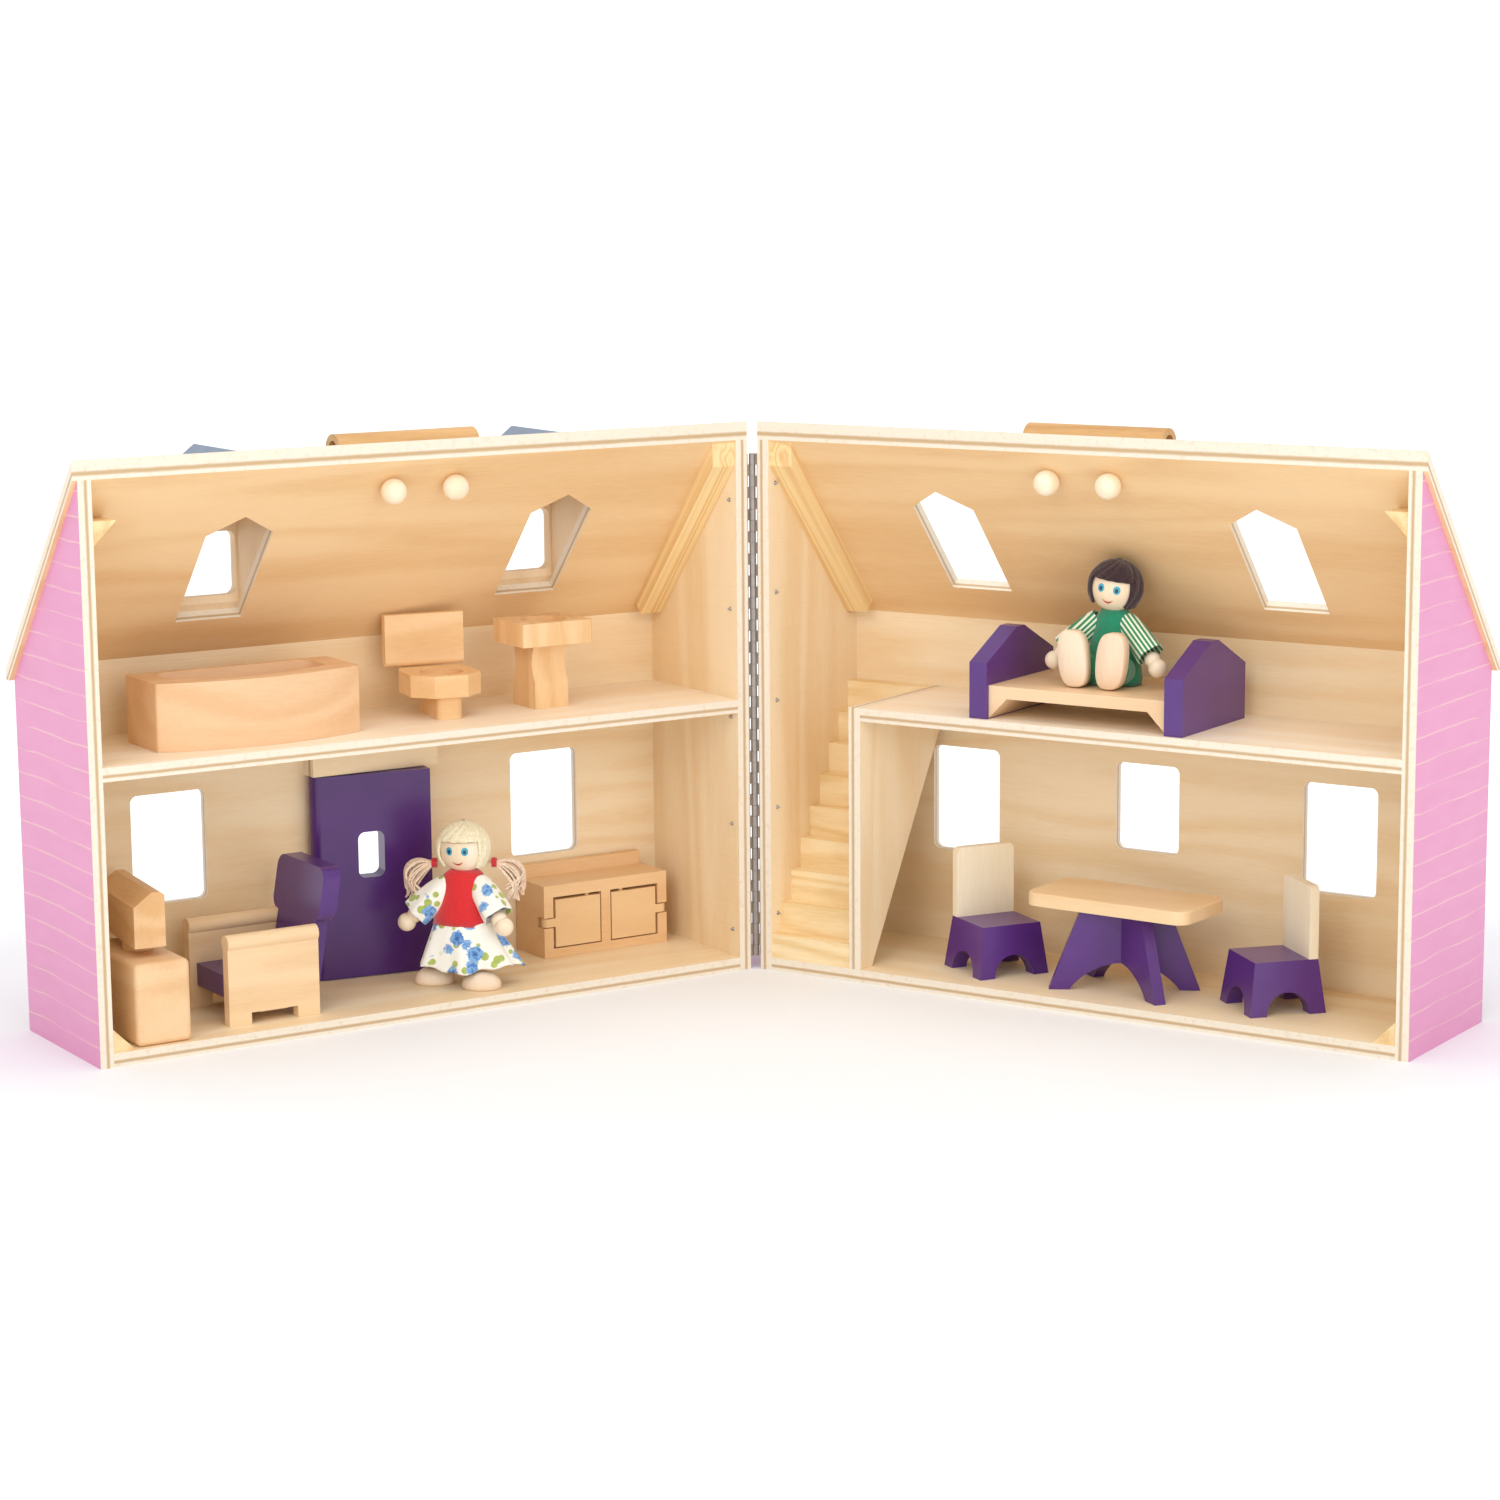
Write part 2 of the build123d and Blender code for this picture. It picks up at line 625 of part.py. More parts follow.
with BuildPart() as bathtub:
    with BuildSketch(placed(left[0], Plane.XY.offset(UPSTAIRS))):
        with BuildLine() as outside:
            tub_outline(0, 0, 0)
        make_face(outside.edges())
        fillet(vertices(), 1.5)
    extrude(amount=TUB_HEIGHT)
    with BuildSketch(placed(left[0], Plane.XY.offset(UPSTAIRS + TUB_HEIGHT))):
        with BuildLine() as rim:
            tub_outline(*TUB_RIM)
        make_face(rim.edges())
        fillet(vertices(), TUB_BASIN_ROUND)
    extrude(amount=-TUB_BASIN_DEPTH, taper=8, mode=Mode.SUBTRACT)

TOILET_FRAME = left[0] * Location((-TOILET_AT[0], TOILET_AT[1], UPSTAIRS), (0, 0, -TOILET_TURN))

with BuildPart() as toilet_bowl:
    with Locations(TOILET_FRAME):
        Box(TOILET_FOOT[0], TOILET_FOOT[1], BOWL_Z, align=(Align.CENTER, Align.CENTER, Align.MIN))
    fillet(edges().filter_by(Axis.Z), 3)
    half_width, half_depth = BOWL_SIZE[0] / 2, BOWL_SIZE[1] / 2
    with BuildSketch(placed(TOILET_FRAME, Plane.XY.offset(BOWL_Z))):
        with BuildLine():
            back = [(-half_width + 3, half_depth), (half_width - 3, half_depth)]
            ends = [(half_width, half_depth - 8), (half_width, BOWL_CHAMFER - half_depth)]
            nose = [(half_width - BOWL_CHAMFER, -half_depth), (BOWL_CHAMFER - half_width, -half_depth)]
            tail = [(-half_width, BOWL_CHAMFER - half_depth), (-half_width, half_depth - 8)]
            Polyline(*back, *ends, *nose, *tail, close=True)
        make_face()
    extrude(amount=BOWL_SIZE[2])
    with Locations(TOILET_FRAME * Location((0, -2.5, BOWL_Z + BOWL_SIZE[2]))):
        Cylinder(BOWL_DISH[0], BOWL_DISH[1] * 2, mode=Mode.SUBTRACT)

with BuildPart() as toilet_lid:
    pivot = Location((LID_SHIFT, LID_V, BOWL_Z + BOWL_SIZE[2] + LID_GAP + LID_SIZE[1] / 2))
    with Locations(TOILET_FRAME * pivot):
        Box(LID_SIZE[0], LID_SIZE[1], LID_SIZE[2] - LID_SIZE[1] / 2,
            align=(Align.CENTER, Align.CENTER, Align.MIN))
        Cylinder(LID_SIZE[1] / 2, LID_SIZE[0], rotation=(0, 90, 0))

with BuildPart() as sink_basin:
    slab_low = SINK_HEIGHT - SINK_SLAB[2]
    with Locations(left[0] * Location((-SINK_AT[0], SINK_AT[1] - 1.0, UPSTAIRS + slab_low))):
        Box(*SINK_SLAB, align=(Align.CENTER, Align.CENTER, Align.MIN))
    fillet(edges().filter_by(lambda e: abs(e.length - SINK_SLAB[2]) < 0.01), 1.2)
    with Locations(left[0] * Location((-SINK_AT[0], SINK_AT[1] - 2.5, UPSTAIRS + SINK_HEIGHT))):
        Cylinder(SINK_BASIN_RADIUS, 2 * SINK_BASIN_DEPTH, mode=Mode.SUBTRACT)
    with Locations(left[0] * Location((-SINK_AT[0] + 14, SINK_AT[1] + 9, UPSTAIRS + SINK_HEIGHT))):
        Cylinder(TAP_HOLE, SINK_BASIN_DEPTH, mode=Mode.SUBTRACT)

with BuildPart() as sink_pedestal:
    tall = SINK_HEIGHT - SINK_SLAB[2]
    wide, deep = PEDESTAL[0] / 2, PEDESTAL[1] / 2
    pedestal = left[0] * Location((-SINK_AT[0], SINK_AT[1] + 2.0, UPSTAIRS))
    with BuildSketch(placed(pedestal, Plane.YZ.offset(-wide))) as profile:
        with BuildLine():
            Line((-deep, 0), (deep, 0))
            Line((deep, 0), (deep, tall * 0.4))
            Spline((deep, tall * 0.4), (deep - PEDESTAL_WAIST, tall * 0.7), (deep, tall))
            Line((deep, tall), (-deep, tall))
            Spline((-deep, tall), (PEDESTAL_WAIST - deep, tall * 0.7), (-deep, tall * 0.4))
            Line((-deep, tall * 0.4), (-deep, 0))
        make_face()
    extrude(amount=2 * wide)

# Television --------------------------------------------------------------
with BuildPart() as tv_cabinet:
    board(left, CABINET_U, CABINET_V, (GROUND, CABINET_TOP))
    fillet(edges(), CABINET_ROUND)
    rod(left, TV_AXIS[0], TV_AXIS[1], (CABINET_TOP - TV_PIN[1], CABINET_TOP + 1),
        TV_PIN[0] + DOOR_RUN, mode=Mode.SUBTRACT)

TV_FRAME = left[0] * Location((-TV_AXIS[0], TV_AXIS[1], 0), (0, 0, -TV_TURN))

with BuildPart() as tv_set:
    with BuildSketch(placed(TV_FRAME, Plane.XZ.offset(TV_LENGTH[0]))):
        with BuildLine():
            foot = [(-TV_HALF, TV_Z[0]), (TV_HALF, TV_Z[0])]
            head = [(TV_HALF, TV_Z[1] - 1.5), (TV_HALF - 2, TV_Z[1]), (1.3, TV_Z[1])]
            Polyline(*foot, *head, (-TV_HALF, TV_SHOULDER), close=True)
        make_face()
    extrude(amount=-sum(TV_LENGTH))
    rod(left, TV_AXIS[0], TV_AXIS[1], (CABINET_TOP + REST, TV_Z[0]), TV_DISC_RADIUS)
    rod(left, TV_AXIS[0], TV_AXIS[1], (CABINET_TOP - TV_PIN[1] + 0.5, TV_Z[0]), TV_PIN[0])

# Armchair ----------------------------------------------------------------
with BuildPart() as armchair_arms:
    low, high = ARMCHAIR_U
    for v in ARM_V:
        span = (v, v + ARM_THICK)
        board(left, ARMCHAIR_U, span, (GROUND, ARM_TOP - ARM_ROLL))
        cross_rod(left, ARMCHAIR_U, v + ARM_THICK / 2, ARM_TOP - ARM_ROLL, ARM_ROLL)
        gap = (low + ARM_FOOT, high - ARM_FOOT)
        board(left, gap, span, (GROUND - 1, GROUND + ARM_ARCH), mode=Mode.SUBTRACT)
    board(left, STRETCHER_U, (ARM_V[0] + ARM_THICK, ARM_V[1]), STRETCHER_Z)

SEAT_BACK_U = CHAIR_BACK_U + 6.6

with BuildPart() as armchair_seat:
    board(left, (SEAT_BACK_U, SEAT_U), (ARM_V[0] + ARM_THICK, ARM_V[1]), SEAT_Z)

with BuildPart() as armchair_back:
    lean = math.tan(math.radians(CHAIR_BACK_LEAN))
    face = [CHAIR_BACK_U + lean * (ARM_TOP - z) for z in (SEAT_Z[0], CHAIR_BACK_TOP)]
    outline = [(face[0], SEAT_Z[0]), (face[1], CHAIR_BACK_TOP)]
    rear = [(face[1] - CHAIR_BACK_THICK, CHAIR_BACK_TOP), (face[0] - CHAIR_BACK_THICK, SEAT_Z[0])]
    elevation(left, (ARM_V[0], ARM_V[1] + ARM_THICK), outline + rear)
    with BuildSketch(placed(left[0], Plane.YZ.offset(-ARMCHAIR_U[1]))):
        low, high = ARM_V[0] + ARM_THICK, ARM_V[1]
        middle = (low + high) / 2
        tall = CHAIR_BACK_TOP - ARM_TOP
        with Locations((middle, ARM_TOP)):
            Rectangle(2 * ARMCHAIR_U[0], 2 * ARMCHAIR_U[0])
        with Locations((middle, SEAT_Z[0])):
            Rectangle(high - low - 2 * ARM_BULGE, 2 * (CHAIR_BACK_TOP - CHAIR_BACK_ROUND - SEAT_Z[0]), mode=Mode.SUBTRACT)
        with Locations((middle, (CHAIR_BACK_TOP + ARM_TOP) / 2)):
            RectangleRounded(high - low + 2 * ARM_THICK, tall, CHAIR_BACK_ROUND, mode=Mode.SUBTRACT)
    extrude(amount=ARMCHAIR_U[1], mode=Mode.SUBTRACT)

# Sideboard ---------------------------------------------------------------
CUPBOARD_Z = (GROUND + SIDEBOARD_BASE, SIDEBOARD_TOP - SIDEBOARD_LID)
POST_U = (sum(SIDEBOARD_U) / 2 - SIDEBOARD_POST / 2, sum(SIDEBOARD_U) / 2 + SIDEBOARD_POST / 2)
BAYS = ((SIDEBOARD_U[0] + SIDE_PANEL, POST_U[0]), (POST_U[1], SIDEBOARD_U[1] - SIDE_PANEL))
TAB_AXIS_V = SIDEBOARD_V[0] + CUPBOARD_THICK / 2
TAB_AXIS_U = (SIDEBOARD_U[0] + SIDE_PANEL / 2, SIDEBOARD_U[1] - SIDE_PANEL / 2)

with BuildPart() as sideboard_carcass:
    board(left, SIDEBOARD_U, SIDEBOARD_V, (GROUND, SIDEBOARD_TOP))
    for bay in BAYS:
        cavity = (SIDEBOARD_V[0] - 1, SIDEBOARD_V[1] - SIDEBOARD_BACK)
        board(left, bay, cavity, CUPBOARD_Z, mode=Mode.SUBTRACT)
    notch_z = (TAB_Z[0] - TAB_GAP, TAB_Z[1] + TAB_GAP)
    notch_v = (SIDEBOARD_V[0] - 1, SIDEBOARD_V[0] + TAB_NOTCH_DEPTH)
    board(left, (SIDEBOARD_U[0] - 1, BAYS[0][0] + 1), notch_v, notch_z, mode=Mode.SUBTRACT)
    board(left, (BAYS[1][1] - 1, SIDEBOARD_U[1] + 1), notch_v, notch_z, mode=Mode.SUBTRACT)
    for u in TAB_AXIS_U:
        pin = (TAB_Z[0] - TAB_PIN[1], TAB_Z[1] + TAB_PIN[1])
        rod(left, u, TAB_AXIS_V, pin, TAB_PIN[0] + DOOR_RUN, mode=Mode.SUBTRACT)
    rail_u = (SIDEBOARD_U[0] + RAIL_INSET, SIDEBOARD_U[1] - RAIL_INSET)
    rail_v = (SIDEBOARD_V[1] - RAIL_THICK, SIDEBOARD_V[1])
    board(left, rail_u, rail_v, (SIDEBOARD_TOP, SIDEBOARD_TOP + RAIL_HEIGHT))


def cupboard_door(bay, hinge_u):
    """Square door with a rounded hinge tab turning on an upright pin."""
    first = hinge_u < bay[0]
    gaps = (HINGE_SIDE_GAP, CUPBOARD_GAP) if first else (CUPBOARD_GAP, HINGE_SIDE_GAP)
    span = (bay[0] + gaps[0], bay[1] - gaps[1])
    v = (SIDEBOARD_V[0], SIDEBOARD_V[0] + CUPBOARD_THICK)
    board(left, span, v, (CUPBOARD_Z[0] + CUPBOARD_GAP, CUPBOARD_Z[1] - 2 * CUPBOARD_GAP))
    reach = (min(hinge_u, span[0]), max(hinge_u, span[1]))
    board(left, reach, v, TAB_Z)
    free_u = span[1] if hinge_u < span[0] else span[0]
    peg_u = free_u + math.copysign(PEG_INSET, hinge_u - free_u)
    peg_z = (CUPBOARD_Z[1] - 2 * CUPBOARD_GAP, CUPBOARD_Z[1] - PEG_GAP)
    rod(left, peg_u, TAB_AXIS_V, peg_z, PEG_RADIUS)
    rod(left, hinge_u, TAB_AXIS_V, TAB_Z, CUPBOARD_THICK / 2)
    rod(left, hinge_u, TAB_AXIS_V, (TAB_Z[0] - TAB_PIN[1] + 0.3, TAB_Z[1] + TAB_PIN[1] - 0.3), TAB_PIN[0])


with BuildPart() as sideboard_inner_door:
    cupboard_door(BAYS[0], TAB_AXIS_U[0])

with BuildPart() as sideboard_outer_door:
    cupboard_door(BAYS[1], TAB_AXIS_U[1])

# Table and chairs --------------------------------------------------------
TABLE_FRAME = right[0] * Location((TABLE_AT[0], TABLE_AT[1], GROUND), (0, 0, -TABLE_TURN))

with BuildPart() as table_top:
    with BuildSketch(placed(TABLE_FRAME, Plane.XY.offset(TABLE_HEIGHT - TABLE_TOP[2]))):
        RectangleRounded(TABLE_TOP[0], TABLE_TOP[1], TABLE_ROUND)
    extrude(amount=TABLE_TOP[2])
    fillet(edges().group_by(Axis.Z)[-1], 1.0)


def leg_board(turn):
    """Arched trapezoid board standing on its two feet."""
    stand = TABLE_FRAME * Location((0, 0, 0), (0, 0, turn))
    tall = TABLE_HEIGHT - TABLE_TOP[2]
    with BuildSketch(placed(stand, Plane.XZ.offset(-LEG_THICK / 2))) as outline:
        with BuildLine():
            Polyline((LEG_ARCH[1], 0), (LEG_FOOT_HALF, 0), (LEG_HEAD_HALF, tall),
                     (-LEG_HEAD_HALF, tall), (-LEG_FOOT_HALF, 0), (-LEG_ARCH[1], 0))
            ThreePointArc((-LEG_ARCH[1], 0), (0, LEG_ARCH[2]), (LEG_ARCH[1], 0))
        make_face()
    extrude(outline.sketch, amount=LEG_THICK)


with BuildPart() as table_legs:
    leg_board(LEG_ANGLE)
    leg_board(-LEG_ANGLE)


def chair_frame(chair):
    return right[0] * Location((chair[0], chair[1], GROUND), (0, 0, chair[2]))


def chair_base(frame):
    """Solid tapered stool block with an arch cut through each way."""
    with BuildSketch(placed(frame, Plane.XY)) as foot:
        Rectangle(CHAIR_FOOT, CHAIR_FOOT)
    with BuildSketch(placed(frame, Plane.XY.offset(CHAIR_HEIGHT))) as seat:
        Rectangle(CHAIR_SEAT, CHAIR_SEAT)
    loft([foot.sketch, seat.sketch])
    for turn in (0, 90):
        around = frame * Location((0, 0, 0), (0, 0, turn))
        with BuildSketch(placed(around, Plane.XZ.offset(-CHAIR_FOOT))) as arch:
            with BuildLine():
                Line((-CHAIR_ARCH[0], -1), (CHAIR_ARCH[0], -1))
                Line((CHAIR_ARCH[0], -1), (CHAIR_ARCH[0], 1))
                ThreePointArc((CHAIR_ARCH[0], 1), (0, CHAIR_ARCH[1]), (-CHAIR_ARCH[0], 1))
                Line((-CHAIR_ARCH[0], 1), (-CHAIR_ARCH[0], -1))
            make_face()
        extrude(arch.sketch, amount=2 * CHAIR_FOOT, mode=Mode.SUBTRACT)


def chair_plate(frame):
    """Upright back plate with rounded top corners on the rear edge of the seat."""
    wide, thick, tall = CHAIR_PLATE
    rear = (CHAIR_SEAT - thick) / 2
    with Locations(frame * Location((0, rear, CHAIR_HEIGHT))):
        Box(wide, thick, tall, align=(Align.CENTER, Align.CENTER, Align.MIN))
    crown = edges().group_by(Axis.Z)[-1].filter_by(lambda e: abs(e.length - thick) < 0.01)
    fillet(crown, CHAIR_PLATE_ROUND)


with BuildPart() as first_chair_base:
    chair_base(chair_frame(FIRST_CHAIR))

with BuildPart() as first_chair_back:
    chair_plate(chair_frame(FIRST_CHAIR))

with BuildPart() as second_chair_base:
    chair_base(chair_frame(SECOND_CHAIR))

with BuildPart() as second_chair_back:
    chair_plate(chair_frame(SECOND_CHAIR))

# Bed ---------------------------------------------------------------------
with BuildPart() as bed_ends:
    peak_v = sum(BED_V) / 2
    shoulder, peak = UPSTAIRS + BED_SHOULDER, UPSTAIRS + BED_PEAK
    foot = [(BED_V[0], UPSTAIRS), (BED_V[1], UPSTAIRS), (BED_V[1], shoulder)]
    crown = [(peak_v + BED_PEAK_FLAT, peak), (peak_v - BED_PEAK_FLAT, peak), (BED_V[0], shoulder)]
    section(right, (BED_U[0], BED_U[0] + BED_END), foot + crown)
    section(right, (BED_U[1] - BED_END, BED_U[1]), foot + crown)

with BuildPart() as bed_platform:
    low, high = BED_U[0] + BED_END, BED_U[1] - BED_END
    top, under = UPSTAIRS + PLATFORM_Z[1], UPSTAIRS + PLATFORM_Z[0]
    sole = UPSTAIRS + 0.4
    deck = [(low, top), (high, top), (high, sole), (high - BRACKET, under), (low + BRACKET, under)]
    elevation(right, PLATFORM_V, deck + [(low, sole)])

# Dolls -------------------------------------------------------------------
GIRL_FRAME = left[0] * Location((-GIRL_AT[0], GIRL_AT[1], GROUND), (0, 0, -FOLD))
BOY_FRAME = right[0] * Location((BOY_AT[0], BOY_AT[1], UPSTAIRS + PLATFORM_Z[1] + REST))


def ball(frame, at, radius, mode=Mode.ADD):
    with Locations(frame * Location(at)):
        Sphere(radius, mode=mode)


def drum(frame, rings):
    """Closed shape through level ellipses given as (x, y, z, half width, half depth)."""
    levels = []
    for x, y, z, wide, deep in rings:
        with BuildSketch(Plane(frame * Location((x, y, z)))) as level:
            Ellipse(wide, deep)
        levels.append(level.sketch)
    loft(levels, ruled=True)


def limb(frame, start, end, thick, thin):
    """Tapered round sleeve or leg between two points."""
    run = Vector(*end) - Vector(*start)
    plane = placed(frame, Plane(origin=start, z_dir=(run.X, run.Y, run.Z)))
    with BuildSketch(plane) as near:
        Circle(thick)
    with BuildSketch(plane.offset(run.length)) as far:
        Circle(thin)
    loft([near.sketch, far.sketch], ruled=True)


def doll_head(frame, at):
    ball(frame, at, HEAD_RADIUS)


def doll_hair(frame, at, fringe, nape):
    """Cap of hair over the top, sides and back of the head."""
    ball(frame, at, HEAD_RADIUS + HAIR_THICK)
    ball(frame, at, HEAD_RADIUS, mode=Mode.SUBTRACT)
    low = at[2] - nape
    with Locations(frame * Location((at[0], at[1], low))):
        Box(60, 60, 60, align=(Align.CENTER, Align.CENTER, Align.MAX), mode=Mode.SUBTRACT)
    with Locations(frame * Location((at[0], at[1] - 3.5, at[2] + fringe))):
        Box(19, 30, 40, align=(Align.CENTER, Align.MAX, Align.MAX), mode=Mode.SUBTRACT)


with BuildPart() as girl_head:
    doll_head(GIRL_FRAME, GIRL_HEAD)

with BuildPart() as girl_hair:
    doll_hair(GIRL_FRAME, GIRL_HEAD, 5.0, 7.0)
    for side in (-1, 1):
        root = (GIRL_HEAD[0] + side * 12.4, GIRL_HEAD[1] + 2.0, GIRL_HEAD[2] - 5.0)
        tip = (GIRL_HEAD[0] + side * 25.0, GIRL_HEAD[1] + 2.0, GIRL_HEAD[2] - 17.0)
        limb(GIRL_FRAME, root, tip, 1.8, 4.2)

with BuildPart() as girl_body:
    drum(GIRL_FRAME, [(1.5, 0, 8.4, 24.5, 16), (-1.5, 0, 31, 13.5, 9.5)])
    drum(GIRL_FRAME, [(-1.5, 0, 31, 13.5, 9.5), (-1, 0, 55.5, 7.5, 6)])
    limb(GIRL_FRAME, (-6, 0, 50), (-24.5, 0, 33.8), 4.2, 6.4)
    limb(GIRL_FRAME, (5, -1, 50), (16.1, -11.4, 34.5), 4.2, 6.4)
    ball(GIRL_FRAME, GIRL_HEAD, HEAD_RADIUS + HAIR_THICK, mode=Mode.SUBTRACT)

with BuildPart() as girl_limbs:
    for hand in ((-28.4, 0, 30.2), (19.0, -14.2, 30.6)):
        ball(GIRL_FRAME, hand, HAND_RADIUS)
    for x, y in ((-15.7, 3.5), (7.9, -10.9)):
        drum(GIRL_FRAME, [(x, y, REST, 9.5, 7.0), (x, y, 4.2, 9.0, 6.5), (x, y, 7.8, 6.0, 5.0)])

with BuildPart() as boy_head:
    doll_head(BOY_FRAME, BOY_HEAD)

with BuildPart() as boy_hair:
    doll_hair(BOY_FRAME, BOY_HEAD, 4.5, 8.5)

with BuildPart() as boy_body:
    drum(BOY_FRAME, [(0, 0, 0.3, 15, 12), (0, 0, 14, 14, 10)])
    drum(BOY_FRAME, [(0, 0, 14, 14, 10), (1, 0, 35.5, 9, 6.5)])
    for side in (-1, 1):
        limb(BOY_FRAME, (side * 6, 0, 30), (side * 23, -5, 15), 4.2, 6.0)
        limb(BOY_FRAME, (side * 8, -5, 6.8), (side * 9.5, -15.2, 7.2), 6.3, 5.6)
    ball(BOY_FRAME, BOY_HEAD, HEAD_RADIUS + HAIR_THICK, mode=Mode.SUBTRACT)

with BuildPart() as boy_limbs:
    for side in (-1, 1):
        ball(BOY_FRAME, (side * 27.0, -6.5, 10.0), HAND_RADIUS)
        shoe = BOY_FRAME * Location((side * 9.8, -16.0, 13.6))
        with BuildSketch(placed(shoe, Plane.XZ)):
            Ellipse(6.8, 13.2)
        extrude(amount=6.0)

PARTS = {
    "left_floor": left_floor, "left_outer_gable": left_outer_gable,
    "left_hinge_gable": left_hinge_gable, "left_back_wall": left_back_wall,
    "left_roof": left_roof, "left_upper_floor": left_upper_floor,
    "left_roof_batten": left_roof_batten, "left_glue_blocks": left_glue_blocks,
    "dormer_walls": dormer_walls, "dormer_roofs": dormer_roofs,
    "left_handle_grip": left_handle_grip, "left_handle_posts": left_handle_posts,
    "door_header": door_header, "front_door": front_door,
    "left_hinge_leaf": left_hinge_leaf, "hinge_pin": hinge_pin,
    "left_hinge_screws": left_hinge_screws,
    "right_floor": right_floor, "right_outer_gable": right_outer_gable,
    "right_hinge_gable": right_hinge_gable, "right_back_wall": right_back_wall,
    "right_roof": right_roof, "right_upper_floor": right_upper_floor,
    "right_roof_batten": right_roof_batten, "right_glue_blocks": right_glue_blocks,
    "right_handle_grip": right_handle_grip, "right_handle_posts": right_handle_posts,
    "staircase": staircase, "stair_partition": stair_partition,
    "right_hinge_leaf": right_hinge_leaf, "right_hinge_screws": right_hinge_screws,
    "bathtub": bathtub, "toilet_bowl": toilet_bowl, "toilet_lid": toilet_lid,
    "sink_basin": sink_basin, "sink_pedestal": sink_pedestal,
    "tv_cabinet": tv_cabinet, "tv_set": tv_set,
    "armchair_arms": armchair_arms, "armchair_seat": armchair_seat,
    "armchair_back": armchair_back,
    "sideboard_carcass": sideboard_carcass,
    "sideboard_inner_door": sideboard_inner_door,
    "sideboard_outer_door": sideboard_outer_door,
    "table_top": table_top, "table_legs": table_legs,
    "first_chair_base": first_chair_base, "first_chair_back": first_chair_back,
    "second_chair_base": second_chair_base, "second_chair_back": second_chair_back,
    "bed_ends": bed_ends, "bed_platform": bed_platform,
    "girl_head": girl_head, "girl_hair": girl_hair,
    "girl_body": girl_body, "girl_limbs": girl_limbs,
    "boy_head": boy_head, "boy_hair": boy_hair,
    "boy_body": boy_body, "boy_limbs": boy_limbs,
}

# The hinge axis stands behind the middle of the footprint, where the origin goes
boxes = [piece.part.bounding_box() for piece in PARTS.values()]
MIDDLE_Y = (min(box.min.Y for box in boxes) + max(box.max.Y for box in boxes)) / 2

os.makedirs("parts", exist_ok=True)
for name, piece in PARTS.items():
    centred = piece.part.moved(Location((0, -MIDDLE_Y, 0)))
    centred.label = name
    export_step(centred, f"parts/{name}.step")
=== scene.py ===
import bpy
import math
import random
from mathutils import Matrix, Vector

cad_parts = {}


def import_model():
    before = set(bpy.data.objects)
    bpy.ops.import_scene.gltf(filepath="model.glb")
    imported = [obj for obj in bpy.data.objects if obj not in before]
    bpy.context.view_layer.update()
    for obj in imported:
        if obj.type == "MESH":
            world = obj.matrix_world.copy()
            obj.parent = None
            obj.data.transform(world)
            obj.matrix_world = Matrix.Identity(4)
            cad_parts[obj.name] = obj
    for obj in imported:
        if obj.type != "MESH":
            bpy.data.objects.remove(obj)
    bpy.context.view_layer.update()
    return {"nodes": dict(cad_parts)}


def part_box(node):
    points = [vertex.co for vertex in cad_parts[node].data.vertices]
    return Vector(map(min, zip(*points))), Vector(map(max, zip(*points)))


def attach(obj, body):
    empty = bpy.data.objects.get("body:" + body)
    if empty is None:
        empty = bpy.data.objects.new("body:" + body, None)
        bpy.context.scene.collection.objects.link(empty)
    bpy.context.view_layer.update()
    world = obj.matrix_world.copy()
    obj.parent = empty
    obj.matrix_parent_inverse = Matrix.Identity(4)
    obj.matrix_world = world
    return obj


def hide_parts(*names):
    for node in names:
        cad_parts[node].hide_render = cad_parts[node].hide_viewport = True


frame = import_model()
nodes = frame["nodes"]
random.seed(11)

MM = 0.001
FOLD = math.radians(33.0)
# Sizes of the part that the looks need again, in mm
PLY = 6.35
BACK_PLY = 4.8
ROOF_PLY = 5.8
HALF_WIDTH = 343.0
HALF_DEPTH = 85.1
HEIGHT = 269.0
FOLD_GAP = 2.7
HINGE_AXIS_V = -0.3
UPPER_FLOOR_TOP = 134.4
PARTITION_U = 53.9
BED_TOP = 15.8
REST = 0.05
# Sizes of the dolls, in metres
CLOTH = 0.4 * MM
HEAD = 11.6 * MM
CAP = 12.5 * MM
CAP_YARN = 0.75 * MM
HAND = 4.4 * MM
WRIST = 3.7 * MM
# The roof's pitch, and the hinge's axis in the shared frame
ROOF = math.radians(48.5)
ROOF_NORMAL = (0.0, math.sin(ROOF), math.cos(ROOF))
ROOF_SLOPE = (0.0, math.cos(ROOF), -math.sin(ROOF))
pin_low, pin_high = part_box("hinge_pin")
AXIS_Y = (pin_low[1] + pin_high[1]) / 2


def world(half, u, v, z):
    """A place in one half-house (mm: along its front, into it, up), in the shared frame in metres."""
    turn = FOLD if half == "left" else -FOLD
    x = -u if half == "left" else u
    y = v - HINGE_AXIS_V
    place = Vector((x * math.cos(turn) - y * math.sin(turn), x * math.sin(turn) + y * math.cos(turn), z)) * MM
    return place + Vector((0.0, AXIS_Y, 0.0))


def colour(code):
    """Linear RGBA of a hex colour."""
    parts = [int(code[i:i + 2], 16) / 255 for i in (0, 2, 4)]
    return tuple(p / 12.92 if p <= 0.04045 else ((p + 0.055) / 1.055) ** 2.4 for p in parts) + (1.0,)


# Camera, light and floor ---------------------------------------------------
camera_data = bpy.data.cameras.new("camera")
camera = bpy.data.objects.new("camera", camera_data)
bpy.context.collection.objects.link(camera)
camera_data.sensor_width = 36.0
camera_data.lens = 84.6
camera_data.clip_end = 20.0
camera.location = (0.0129, -1.6920 + AXIS_Y, 0.4024)
camera.rotation_euler = (math.radians(90 - 9.84), math.radians(0.45), math.radians(0.43))
bpy.context.scene.camera = camera
bpy.context.scene.view_settings.view_transform = "Standard"

